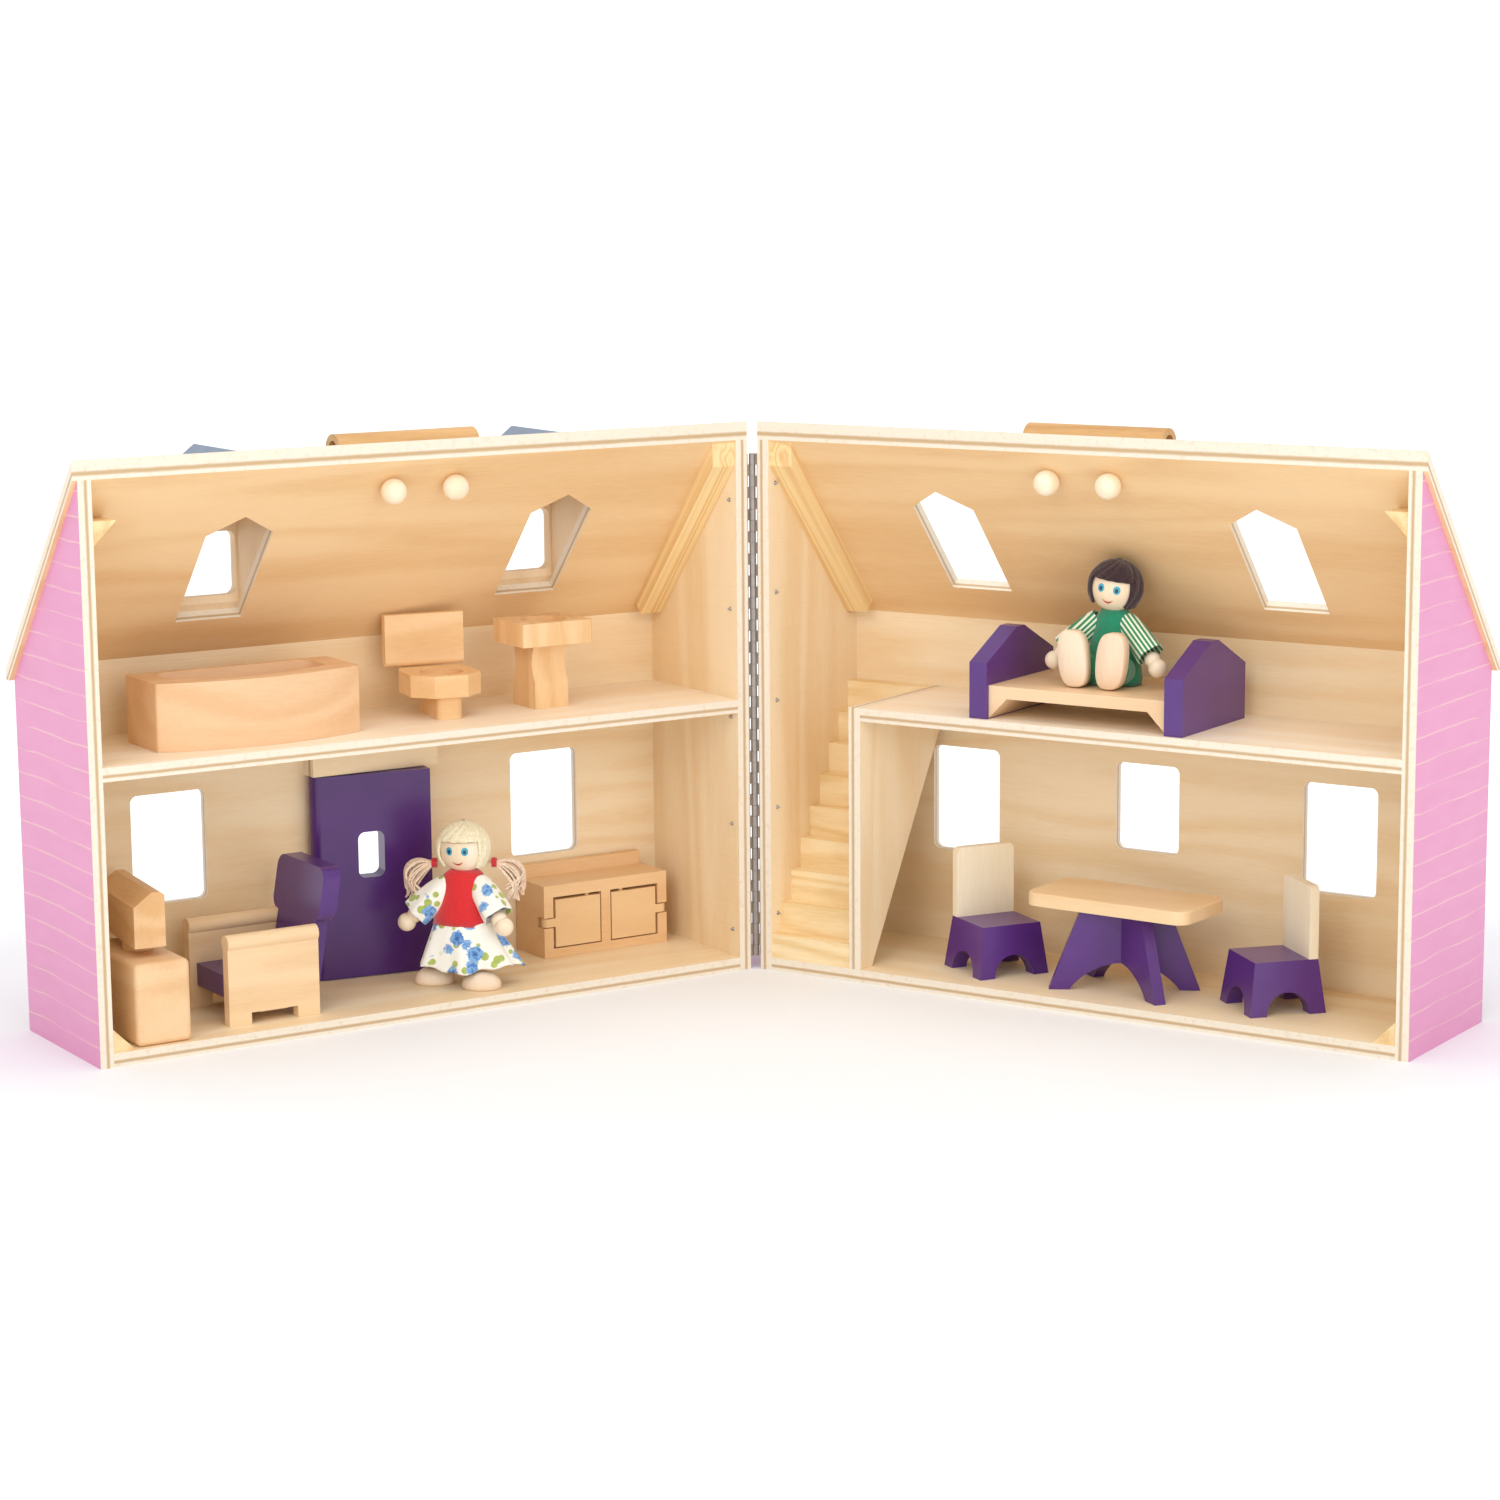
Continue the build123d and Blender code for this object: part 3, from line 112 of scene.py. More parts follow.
world_shade = bpy.data.worlds.new("studio")
bpy.context.scene.world = world_shade
world_shade.use_nodes = True
sky = world_shade.node_tree
sky.nodes["Background"].inputs["Color"].default_value = (1.0, 1.0, 1.0, 1.0)
seen = sky.nodes.new("ShaderNodeLightPath")
amount = sky.nodes.new("ShaderNodeMapRange")
amount.inputs["To Min"].default_value = 0.70
amount.inputs["To Max"].default_value = 1.05
sky.links.new(seen.outputs["Is Camera Ray"], amount.inputs["Value"])
sky.links.new(amount.outputs["Result"], sky.nodes["Background"].inputs["Strength"])


def area_light(name, place, target, size, power, tint=(1.0, 1.0, 1.0)):
    data = bpy.data.lights.new(name, "AREA")
    data.shape = "DISK"
    data.size = size
    data.energy = power
    data.color = tint
    lamp = bpy.data.objects.new(name, data)
    bpy.context.collection.objects.link(lamp)
    lamp.location = place
    lamp.rotation_euler = (Vector(target) - Vector(place)).to_track_quat("-Z", "Y").to_euler()


area_light("front_key", (-0.9, -2.4, 1.5), (0.0, -0.1, 0.12), 1.6, 17.5, (1.0, 0.985, 0.96))
area_light("front_fill", (1.3, -2.2, 1.0), (0.0, -0.1, 0.12), 1.8, 14.0)
area_light("top_soft", (0.0, -0.2, 2.2), (0.0, -0.1, 0.0), 2.2, 18.0)


# Material tools --------------------------------------------------------------
class Shade:
    """One procedural material, with places and normals turned into its half-house."""

    def __init__(self, name, turn=0.0, origin=(0.0, AXIS_Y, 0.0)):
        self.material = bpy.data.materials.new(name)
        self.material.use_nodes = True
        self.tree = self.material.node_tree
        self.shader = self.tree.nodes["Principled BSDF"]
        coord = self.tree.nodes.new("ShaderNodeTexCoord")
        moved = self.vector("SUBTRACT", coord.outputs["Object"], origin)
        self.place = self.turned(moved, turn)
        self.normal = self.turned(coord.outputs["Normal"], turn)

    def link(self, source, socket):
        if isinstance(source, (int, float)):
            socket.default_value = source
        elif isinstance(source, (tuple, list)):
            socket.default_value = source
        else:
            self.tree.links.new(source, socket)

    def turned(self, vector, turn):
        node = self.tree.nodes.new("ShaderNodeVectorRotate")
        node.rotation_type = "Z_AXIS"
        self.link(vector, node.inputs["Vector"])
        node.inputs["Angle"].default_value = turn
        return node.outputs["Vector"]

    def vector(self, operation, a, b):
        node = self.tree.nodes.new("ShaderNodeVectorMath")
        node.operation = operation
        self.link(a, node.inputs[0])
        self.link(b, node.inputs[1])
        return node.outputs["Value"] if operation == "DOT_PRODUCT" else node.outputs["Vector"]

    def math(self, operation, a, b=0.0, c=0.0):
        node = self.tree.nodes.new("ShaderNodeMath")
        node.operation = operation
        self.link(a, node.inputs[0])
        self.link(b, node.inputs[1])
        self.link(c, node.inputs[2])
        return node.outputs[0]

    def noise(self, vector, scale=1.0, detail=3.0, rough=0.5, distort=0.0):
        node = self.tree.nodes.new("ShaderNodeTexNoise")
        self.link(vector, node.inputs["Vector"])
        node.inputs["Scale"].default_value = scale
        node.inputs["Detail"].default_value = detail
        node.inputs["Roughness"].default_value = rough
        node.inputs["Distortion"].default_value = distort
        return node.outputs["Fac"]

    def cells(self, vector, scale, feature="F1", randomness=1.0):
        node = self.tree.nodes.new("ShaderNodeTexVoronoi")
        node.feature = feature
        self.link(vector, node.inputs["Vector"])
        node.inputs["Scale"].default_value = scale
        node.inputs["Randomness"].default_value = randomness
        return node

    def step(self, value, low, high):
        """0 below low, 1 above high, smooth between; low above high turns it round."""
        node = self.tree.nodes.new("ShaderNodeMapRange")
        node.interpolation_type = "SMOOTHSTEP"
        self.link(value, node.inputs["Value"])
        flip = low > high
        node.inputs["From Min"].default_value = min(low, high)
        node.inputs["From Max"].default_value = max(low, high)
        node.inputs["To Min"].default_value = 1.0 if flip else 0.0
        node.inputs["To Max"].default_value = 0.0 if flip else 1.0
        return node.outputs["Result"]

    def mix(self, factor, a, b, blend="MIX"):
        node = self.tree.nodes.new("ShaderNodeMix")
        node.data_type = "RGBA"
        node.blend_type = blend
        node.clamp_factor = True
        sockets = [s for s in node.inputs if s.enabled]
        self.link(factor, node.inputs["Factor"])
        colour_a, colour_b = [s for s in sockets if s.type == "RGBA"]
        self.link(a, colour_a)
        self.link(b, colour_b)
        return [s for s in node.outputs if s.type == "RGBA"][0]

    def finish(self, paint, rough=0.5, height=None, depth=0.0002, **sockets):
        self.link(paint, self.shader.inputs["Base Color"])
        self.shader.inputs["Roughness"].default_value = rough
        for name, value in sockets.items():
            self.shader.inputs[name.replace("_", " ")].default_value = value
        if height is not None:
            bump = self.tree.nodes.new("ShaderNodeBump")
            bump.inputs["Distance"].default_value = depth
            bump.inputs["Strength"].default_value = 0.6
            self.link(height, bump.inputs["Height"])
            self.link(bump.outputs["Normal"], self.shader.inputs["Normal"])
        return self.material


def grain(shade, axis, light, dark, figure=11.0, seed=0.0, knots=0.0, place=None, even=False):
    """Wood figure along one local axis: contour bands, broad tone and fine fibre."""
    place = place or shade.place
    long_scale, cross_scale = (1.6, 150.0) if even else (6.0, 50.0)
    along = tuple(long_scale if i == axis else cross_scale for i in range(3))
    shifted = shade.vector("ADD", place, (seed, seed * 1.7, seed * 0.6))
    stretched = shade.vector("MULTIPLY", shifted, along)
    slow = shade.noise(stretched, 0.42, 2.0, 0.45, 0.0 if even else 0.3)
    bands = shade.math("PINGPONG", shade.math("MULTIPLY", slow, figure), 1.0)
    bands = shade.step(bands, 0.1, 1.0)
    broad = shade.noise(stretched, 0.7, 3.0, 0.5, 0.0 if even else 0.4)
    fibre = shade.noise(shade.vector("MULTIPLY", shifted, tuple(a * 16 for a in along)), 1.0, 2.0, 0.7)
    tone = shade.math("ADD", shade.math("MULTIPLY", bands, 0.30), shade.math("MULTIPLY", broad, 0.70))
    tone = shade.math("ADD", tone, shade.math("MULTIPLY", shade.math("SUBTRACT", fibre, 0.5), 0.45))
    paint = shade.mix(shade.step(tone, 0.15, 0.95), light, dark)
    if knots:
        spots = shade.cells(shifted, 13.0)
        near = shade.step(spots.outputs["Distance"], 0.05, 0.012)
        chosen = shade.step(shade.vector("DOT_PRODUCT", spots.outputs["Color"], (1.0, 0.0, 0.0)),
                            1.0 - knots, 1.01 - knots)
        paint = shade.mix(shade.math("MULTIPLY", near, shade.math("MULTIPLY", chosen, 0.7)), paint,
                          colour("9C6A3C"))
    return paint, fibre


def plies(shade, paint, normal_axis, thickness, start, pale, dark):
    """Shows the glued layers on every face that cuts across a board."""
    across = shade.vector("DOT_PRODUCT", shade.place, normal_axis)
    facing = shade.math("ABSOLUTE", shade.vector("DOT_PRODUCT", shade.normal, normal_axis))
    edge = shade.step(facing, 0.94, 0.86)
    wobble = shade.math("MULTIPLY", shade.noise(shade.place, 140.0, 2.0), 0.00035)
    layer = shade.math("DIVIDE", shade.math("ADD", shade.math("SUBTRACT", across, start), wobble),
                       thickness * MM / 2.5)
    stripe = shade.math("PINGPONG", layer, 1.0)
    core = shade.mix(shade.step(stripe, 0.55, 0.9), pale, dark)
    speck = shade.noise(shade.vector("MULTIPLY", shade.place, (300.0, 300.0, 300.0)), 1.0, 3.0, 0.7)
    core = shade.mix(shade.math("MULTIPLY", shade.step(speck, 0.5, 0.75), 0.3), core, colour("D3B083"))
    return shade.mix(edge, paint, core)


TURN = {"left": -FOLD, "right": FOLD}
PALE, WARM = colour("F9E5C3"), colour("EFD0A2")
EDGE_PALE, EDGE_DARK = colour("EFE3D0"), colour("C9AB84")


def board_wood(name, half, axis, thick_axis, thickness, start, light=PALE, dark=WARM, seed=0.0, knots=0.0):
    shade = Shade(name, TURN[half])
    paint, fibre = grain(shade, axis, light, dark, seed=seed, knots=knots)
    paint = plies(shade, paint, thick_axis, thickness, start, EDGE_PALE, EDGE_DARK)
    return shade.finish(paint, 0.52, fibre, 0.00012, Specular_IOR_Level=0.35)


def siding(name, half, outward, thick_axis, start, run_axis):
    """Natural ply inside, pink board siding with broken pale lines outside."""
    shade = Shade(name, TURN[half])
    paint, fibre = grain(shade, 2 if run_axis == 1 else 0, PALE, WARM, seed=0.3)
    run = shade.vector("DOT_PRODUCT", shade.place, (1.0, 0.0, 0.0) if run_axis == 0 else (0.0, 1.0, 0.0))
    high = shade.vector("DOT_PRODUCT", shade.place, (0.0, 0.0, 1.0))
    waver = shade.noise(shade.vector("MULTIPLY", shade.place, (26.0, 26.0, 9.0)), 1.0, 2.0)
    waver = shade.math("MULTIPLY", waver, 0.0032)
    row = shade.math("DIVIDE", shade.math("ADD", high, waver), 0.0112)
    gap = shade.math("PINGPONG", row, 0.5)
    line = shade.step(gap, 0.052, 0.022)
    row_number = shade.math("FLOOR", row)
    parts = shade.tree.nodes.new("ShaderNodeCombineXYZ")
    shade.link(shade.math("MULTIPLY", run, 17.0), parts.inputs["X"])
    shade.link(shade.math("MULTIPLY", row_number, 3.7), parts.inputs["Y"])
    broken = shade.step(shade.noise(parts.outputs["Vector"], 1.0, 1.0), 0.36, 0.47)
    stroke = shade.math("MULTIPLY", line, broken)
    faint = shade.noise(shade.vector("MULTIPLY", shade.place, (40.0, 40.0, 160.0)), 1.0, 3.0)
    pink = shade.mix(faint, colour("E59DC3"), colour("DC92B9"))
    pink = shade.mix(shade.math("MULTIPLY", stroke, 0.45), pink, colour("F2D3C4"))
    facing = shade.vector("DOT_PRODUCT", shade.normal, outward)
    outside = shade.step(facing, 0.75, 0.9)
    paint = plies(shade, paint, thick_axis, PLY if run_axis else BACK_PLY, start, EDGE_PALE, EDGE_DARK)
    paint = shade.mix(outside, paint, pink)
    relief = shade.math("SUBTRACT", shade.math("MULTIPLY", fibre, 0.5), shade.math("MULTIPLY", stroke, 0.5))
    return shade.finish(paint, 0.46, relief, 0.00015, Specular_IOR_Level=0.4)


def roofing(name, half, direction, down, across, start, thickness, light, dark, line_tint):
    """Natural ply below, weathered grey with faint shingle marks above."""
    shade = Shade(name, TURN[half])
    paint, fibre = grain(shade, 0, colour("F0CFA0"), colour("E3B984"), seed=0.8, knots=0.10)
    fall = shade.vector("DOT_PRODUCT", shade.place, down)
    run = shade.vector("DOT_PRODUCT", shade.place, across)
    parts = shade.tree.nodes.new("ShaderNodeCombineXYZ")
    shade.link(run, parts.inputs["X"])
    shade.link(fall, parts.inputs["Y"])
    waver = shade.noise(shade.place, 90.0, 2.0)
    bricks = shade.tree.nodes.new("ShaderNodeTexBrick")
    shade.link(parts.outputs["Vector"], bricks.inputs["Vector"])
    bricks.inputs["Scale"].default_value = 1.0
    bricks.inputs["Brick Width"].default_value = 0.024
    bricks.inputs["Row Height"].default_value = 0.0135
    bricks.inputs["Mortar Size"].default_value = 0.0005
    bricks.inputs["Mortar Smooth"].default_value = 0.4
    bricks.inputs["Color1"].default_value = light
    bricks.inputs["Color2"].default_value = dark
    bricks.inputs["Mortar"].default_value = line_tint
    faded = shade.math("MULTIPLY", shade.step(waver, 0.35, 0.7), 0.45)
    grey = shade.mix(faded, bricks.outputs["Color"], light)
    facing = shade.vector("DOT_PRODUCT", shade.normal, direction)
    outside = shade.step(facing, 0.8, 0.95)
    paint = plies(shade, paint, direction, thickness, start, EDGE_PALE, EDGE_DARK)
    paint = shade.mix(outside, paint, grey)
    return shade.finish(paint, 0.55, shade.math("MULTIPLY", fibre, 0.5), 0.00015, Specular_IOR_Level=0.35)


def solid_wood(name, turn, axis, light, dark, seed=0.0, rough=0.5, figure=14.0, knots=0.0, straight=False):
    shade = Shade(name, turn)
    place = None
    if straight:
        parts = shade.tree.nodes.new("ShaderNodeCombineXYZ")
        shade.link(shade.vector("DOT_PRODUCT", shade.place, ROOF_SLOPE), parts.inputs["X"])
        shade.link(shade.vector("DOT_PRODUCT", shade.place, (1.0, 0.0, 0.0)), parts.inputs["Y"])
        shade.link(shade.vector("DOT_PRODUCT", shade.place, ROOF_NORMAL), parts.inputs["Z"])
        place = parts.outputs["Vector"]
    paint, fibre = grain(shade, axis, light, dark, figure=figure, seed=seed, knots=knots, place=place,
                         even=straight)
    return shade.finish(paint, rough, fibre, 0.00015, Specular_IOR_Level=0.35)


def painted(name, turn, base, worn, rough=0.3):
    """Satin sprayed paint with faint cloudiness and a fine orange peel."""
    shade = Shade(name, turn)
    cloud = shade.noise(shade.place, 30.0, 3.0, 0.55)
    paint = shade.mix(shade.step(cloud, 0.35, 0.7), base, worn)
    scuff = shade.noise(shade.vector("MULTIPLY", shade.place, (700.0, 700.0, 700.0)), 1.0, 3.0, 0.7)
    paint = shade.mix(shade.math("MULTIPLY", shade.step(scuff, 0.66, 0.8), 0.25), paint, colour("6B479B"))
    peel = shade.noise(shade.place, 1400.0, 2.0)
    return shade.finish(paint, rough, peel, 0.00005, Coat_Weight=0.2, Coat_Roughness=0.2)


def metal(name):
    shade = Shade(name)
    brushed = shade.noise(shade.vector("MULTIPLY", shade.place, (900.0, 900.0, 60.0)), 1.0, 2.0)
    paint = shade.mix(brushed, colour("B9B2AB"), colour("857C76"))
    shade.shader.inputs["Metallic"].default_value = 0.9
    return shade.finish(paint, 0.33, brushed, 0.00006)


def assign(material, *names):
    for name in names:
        piece = nodes[name]
        piece.data.materials.clear()
        piece.data.materials.append(material)


# House shell -----------------------------------------------------------------
for half in ("left", "right"):
    hand = -1.0 if half == "left" else 1.0
    outer = (hand, 0.0, 0.0)
    assign(board_wood(half + "_floor_ply", half, 0, (0.0, 0.0, 1.0), PLY, 0.0, seed=0.1), half + "_floor")
    upper = board_wood(half + "_upper_ply", half, 0, (0.0, 0.0, 1.0), PLY, (UPPER_FLOOR_TOP - PLY) * MM,
                       light=colour("FDF1DE"), dark=colour("F6E2C4"), seed=0.45)
    assign(upper, half + "_upper_floor")
    assign(siding(half + "_outer_siding", half, outer, (1.0, 0.0, 0.0), hand * (HALF_WIDTH - PLY) * MM, 1),
           half + "_outer_gable")
    inner = (-hand, 0.0, 0.0)
    assign(siding(half + "_hinge_siding", half, inner, (1.0, 0.0, 0.0), hand * FOLD_GAP * MM, 1),
           half + "_hinge_gable")
    back_start = (HALF_DEPTH - BACK_PLY - HINGE_AXIS_V) * MM
    back = siding(half + "_back_siding", half, (0.0, 1.0, 0.0), (0.0, 1.0, 0.0), back_start, 0)
    assign(back, half + "_back_wall")
    roof_start = (HEIGHT * math.cos(ROOF) - ROOF_PLY) * MM
    roof = roofing(half + "_roof_paint", half, ROOF_NORMAL, ROOF_SLOPE, (1.0, 0.0, 0.0), roof_start, ROOF_PLY,
                   colour("D5D8DC"), colour("CBCFD5"), colour("B3B9C2"))
    assign(roof, half + "_roof")
    pine = solid_wood(half + "_batten_pine", TURN[half], 0, colour("F9DFA9"), colour("DFB070"), seed=0.2,
                      figure=20.0, straight=True)
    assign(pine, half + "_roof_batten")
    block = solid_wood(half + "_block_pine", TURN[half], 1, colour("F7DCA8"), colour("D9A968"), seed=0.5,
                       figure=26.0)
    assign(block, half + "_glue_blocks")
    grip = solid_wood(half + "_grip_wood", TURN[half], 0, colour("E2B277"), colour("C18D51"), seed=0.7,
                      rough=0.4)
    assign(grip, half + "_handle_grip")
    knob = solid_wood(half + "_knob_wood", TURN[half], 2, colour("FFF1DA"), colour("F3D9B2"), seed=0.9,
                      rough=0.45)
    assign(knob, half + "_handle_posts")

treads = solid_wood("stair_pine", TURN["right"], 0, colour("FBE5BA"), colour("E7C283"), seed=0.15,
                    figure=22.0)
assign(treads, "staircase")
assign(board_wood("partition_ply", "right", 2, (1.0, 0.0, 0.0), PLY, PARTITION_U * MM, seed=0.6),
       "stair_partition")
assign(board_wood("header_ply", "left", 0, (0.0, 1.0, 0.0), 10.5, 0.0701, seed=0.25), "door_header")
assign(solid_wood("dormer_ply", TURN["left"], 2, colour("F1D9B6"), colour("E4C49A"), seed=0.35, figure=9.0),
       "dormer_walls")
slate = Shade("dormer_slate", TURN["left"])
slate_cloud = slate.noise(slate.place, 120.0, 3.0)
slate_paint = slate.mix(slate_cloud, colour("8F9BAC"), colour("7B889B"))
slate_under = slate.step(slate.vector("DOT_PRODUCT", slate.normal, (0.0, 0.0, 1.0)), 0.2, 0.5)
slate_bare, slate_fibre = grain(slate, 1, PALE, WARM, seed=0.4)
assign(slate.finish(slate.mix(slate_under, slate_bare, slate_paint), 0.5, slate_fibre, 0.0001),
       "dormer_roofs")
steel = metal("hinge_steel")
assign(steel, "left_hinge_leaf", "right_hinge_leaf", "hinge_pin", "left_hinge_screws", "right_hinge_screws")

# Furniture -------------------------------------------------------------------
violet_left = painted("violet_left", TURN["left"], colour("4B2070"), colour("532678"))
violet_right = painted("violet_right", TURN["right"], colour("53287A"), colour("5B2F84"))
assign(violet_left, "front_door", "armchair_seat", "armchair_back")
assign(violet_right, "bed_ends", "table_legs", "first_chair_base", "second_chair_base")
beech_light, beech_dark = colour("F2CEA2"), colour("E3B684")
assign(solid_wood("tv_stand_beech", TURN["left"], 1, beech_light, beech_dark, seed=0.12, figure=10.0),
       "tv_cabinet")
assign(solid_wood("tv_beech", TURN["left"], 1, colour("EFC797"), colour("DDAC74"), seed=0.52), "tv_set")
assign(solid_wood("arm_beech", TURN["left"], 0, colour("F4D5AB"), colour("E7C092"), seed=0.33),
       "armchair_arms")
assign(solid_wood("sideboard_beech", TURN["left"], 0, colour("F1CB9C"), colour("E4B681"), seed=0.73,
                  figure=8.0),
       "sideboard_carcass")
assign(solid_wood("cupboard_beech", TURN["left"], 0, colour("F1CC9C"), colour("E8BF8C"), seed=0.21,
                  figure=6.0),
       "sideboard_inner_door", "sideboard_outer_door")
assign(solid_wood("tub_beech", TURN["left"], 0, colour("EFC9A0"), colour("E2B486"), seed=0.41, figure=12.0),
       "bathtub")
assign(solid_wood("toilet_beech", TURN["left"], 0, colour("F4CF9F"), colour("E6B982"), seed=0.62),
       "toilet_bowl", "toilet_lid")
assign(solid_wood("sink_beech", TURN["left"], 2, colour("F4CF9F"), colour("E4B67E"), seed=0.82, figure=18.0),
       "sink_basin", "sink_pedestal")
assign(solid_wood("table_beech", TURN["right"], 0, colour("F5D5A9"), colour("E9C190"), seed=0.3,
                  figure=10.0), "table_top")
assign(solid_wood("bed_beech", TURN["right"], 0, colour("F3D3AC"), colour("E5C096"), seed=0.64, figure=10.0),
       "bed_platform")
assign(solid_wood("plate_ply", TURN["right"], 2, colour("FBEFD8"), colour("F0DDB8"), seed=0.94, figure=8.0),
       "first_chair_back", "second_chair_back")

# Softened edges on every carried-over board and block --------------------------
SOFT = {"left_hinge_leaf": 0, "right_hinge_leaf": 0, "hinge_pin": 0,
        "left_hinge_screws": 0, "right_hinge_screws": 0,
        "left_handle_grip": 0.3, "right_handle_grip": 0.3, "bathtub": 0.9, "tv_set": 0.7,
        "armchair_back": 1.2, "armchair_seat": 0.9, "armchair_arms": 0.6, "front_door": 0.5,
        "toilet_bowl": 0.8, "toilet_lid": 0.8, "sink_basin": 0.6, "table_legs": 0.5,
        "first_chair_base": 0.7, "second_chair_base": 0.7, "bed_ends": 0.8, "sideboard_carcass": 0.4}
DOLLS = [n for n in nodes if n.startswith(("girl_", "boy_"))]
for name, piece in nodes.items():
    if name in DOLLS:
        continue
    width = SOFT.get(name, 0.28)
    if width:
        bevel = piece.modifiers.new("soft_edges", "BEVEL")
        bevel.width = width * MM
        bevel.segments = 3 if width > 0.4 else 2
        bevel.limit_method = "ANGLE"
        bevel.angle_limit = math.radians(40)
        bevel.harden_normals = False
        bevel.use_clamp_overlap = True


# Dolls -----------------------------------------------------------------------
def piece_from(name, points, faces, material, body):
    mesh = bpy.data.meshes.new(name)
    mesh.from_pydata([tuple(p) for p in points], [], faces)
    mesh.update()
    made = bpy.data.objects.new(name, mesh)
    bpy.context.collection.objects.link(made)
    mesh.materials.append(material)
    mesh.shade_smooth()
    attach(made, body)
    return made


def loft(rings, close_start=True, close_end=True):
    """Points and faces through rings of equal count."""
    count = len(rings[0])
    points = [p for ring in rings for p in ring]
    faces = []
    for r in range(len(rings) - 1):
        for i in range(count):
            j = (i + 1) % count
            faces.append((r * count + i, r * count + j, (r + 1) * count + j, (r + 1) * count + i))
    if close_start:
        faces.append(tuple(reversed(range(count))))
    if close_end:
        faces.append(tuple((len(rings) - 1) * count + i for i in range(count)))
    return points, faces


def ball(name, center, radius, material, body, rings=24):
    made = []
    for r in range(1, rings):
        polar = math.pi * r / rings
        made.append([center + Vector((radius * math.sin(polar) * math.cos(a),
                                      radius * math.sin(polar) * math.sin(a),
                                      radius * -math.cos(polar)))
                     for a in [2 * math.pi * i / (2 * rings) for i in range(2 * rings)]])
    return piece_from(name, *loft(made), material, body)


def yarn(name, strands, thick, material, body):
    """Soft strands of yarn, each a curve through its points."""
    data = bpy.data.curves.new(name, "CURVE")
    data.dimensions = "3D"
    data.bevel_depth = thick
    data.bevel_resolution = 2
    data.resolution_u = 5
    for points in strands:
        spline = data.splines.new("NURBS")
        spline.points.add(len(points) - 1)
        for knot, p in zip(spline.points, points):
            knot.co = (p.x, p.y, p.z, 1.0)
        spline.order_u = 3
        spline.use_endpoint_u = True
    made = bpy.data.objects.new(name, data)
    bpy.context.collection.objects.link(made)
    data.materials.append(material)
    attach(made, body)
    return made


def face_patch(name, center, radius, across, up, size, material, body, tilt, lift=0.12):
    """A small painted oval lying on a ball's front, tilted with the head."""
    rings = []
    for share in (1.0, 0.66, 0.33):
        ring = []
        for i in range(20):
            a = 2 * math.pi * i / 20
            px, pz = size[0] * share * math.cos(a), size[1] * share * math.sin(a)
            x, z = across + px, up + pz
            depth = math.sqrt((radius + lift * MM) ** 2 - x * x - z * z)
            ring.append(center + tilt @ Vector((x, -depth, z)))
        rings.append(ring)
    return piece_from(name, *loft(rings, False, True), material, body)


def smile(name, center, radius, material, body, tilt):
    """Curved painted mouth."""
    ring_top, ring_low = [], []
    for i in range(13):
        t = -1 + i / 6
        x = 2.5 * t * MM
        z = (-6.4 + 1.3 * t * t) * MM
        wide = (0.12 + 0.42 * (1 - t * t)) * MM
        for ring, shift in ((ring_top, wide), (ring_low, -wide * 0.7)):
            depth = math.sqrt((radius + 0.14 * MM) ** 2 - x * x - (z + shift) ** 2)
            ring.append(center + tilt @ Vector((x, -depth, z + shift)))
    points = ring_top + ring_low
    faces = [(i, 13 + i, 14 + i, 1 + i) for i in range(12)]
    return piece_from(name, points, faces, material, body)


def plain(name, code, rough=0.5, fuzz=0.0, scale=900.0):
    """Lightly mottled single-tone finish for beads, paint and felt."""
    shade = Shade(name)
    mottle = shade.noise(shade.place, scale, 3.0, 0.6)
    base = colour(code)
    darker = tuple(c * 0.78 for c in base[:3]) + (1.0,)
    paint = shade.mix(shade.step(mottle, 0.3, 0.75), base, darker)
    return shade.finish(paint, rough, mottle, 0.0003 if fuzz else 0.00006, Sheen_Weight=fuzz)


bead = solid_wood("doll_bead_wood", 0.0, 2, colour("FBEAD2"), colour("F3DBB8"), seed=0.07, rough=0.42,
                  figure=9.0)
sole = solid_wood("doll_shoe_wood", 0.0, 2, colour("F8E3CB"), colour("EFD0AE"), seed=0.37, rough=0.45,
                  figure=9.0)
teal = plain("eye_teal", "4FB4CE", 0.25)
ink = plain("eye_ink", "2A4C66", 0.2)
lips = plain("lip_red", "C9443C", 0.35)
ribbon = plain("ribbon_red", "D8252B", 0.7, 0.4)
bodice_red = plain("bodice_red", "E31F26", 0.85, 0.6, 1600.0)
felt = plain("overall_green", "17906A", 0.9, 0.5, 1500.0)


def yarn_material(name, light, dark):
    shade = Shade(name)
    strand = shade.noise(shade.vector("MULTIPLY", shade.place, (900.0, 900.0, 900.0)), 1.0, 2.0)
    paint = shade.mix(shade.step(strand, 0.3, 0.7), colour(light), colour(dark))
    return shade.finish(paint, 0.85, strand, 0.0003, Sheen_Weight=0.4)


cream_yarn = yarn_material("cream_yarn", "F8EFD2", "E9DAB2")
tail_yarn = yarn_material("tail_yarn", "F5DFC8", "E3C3A4")
brown_yarn = yarn_material("brown_yarn", "3E2028", "241015")


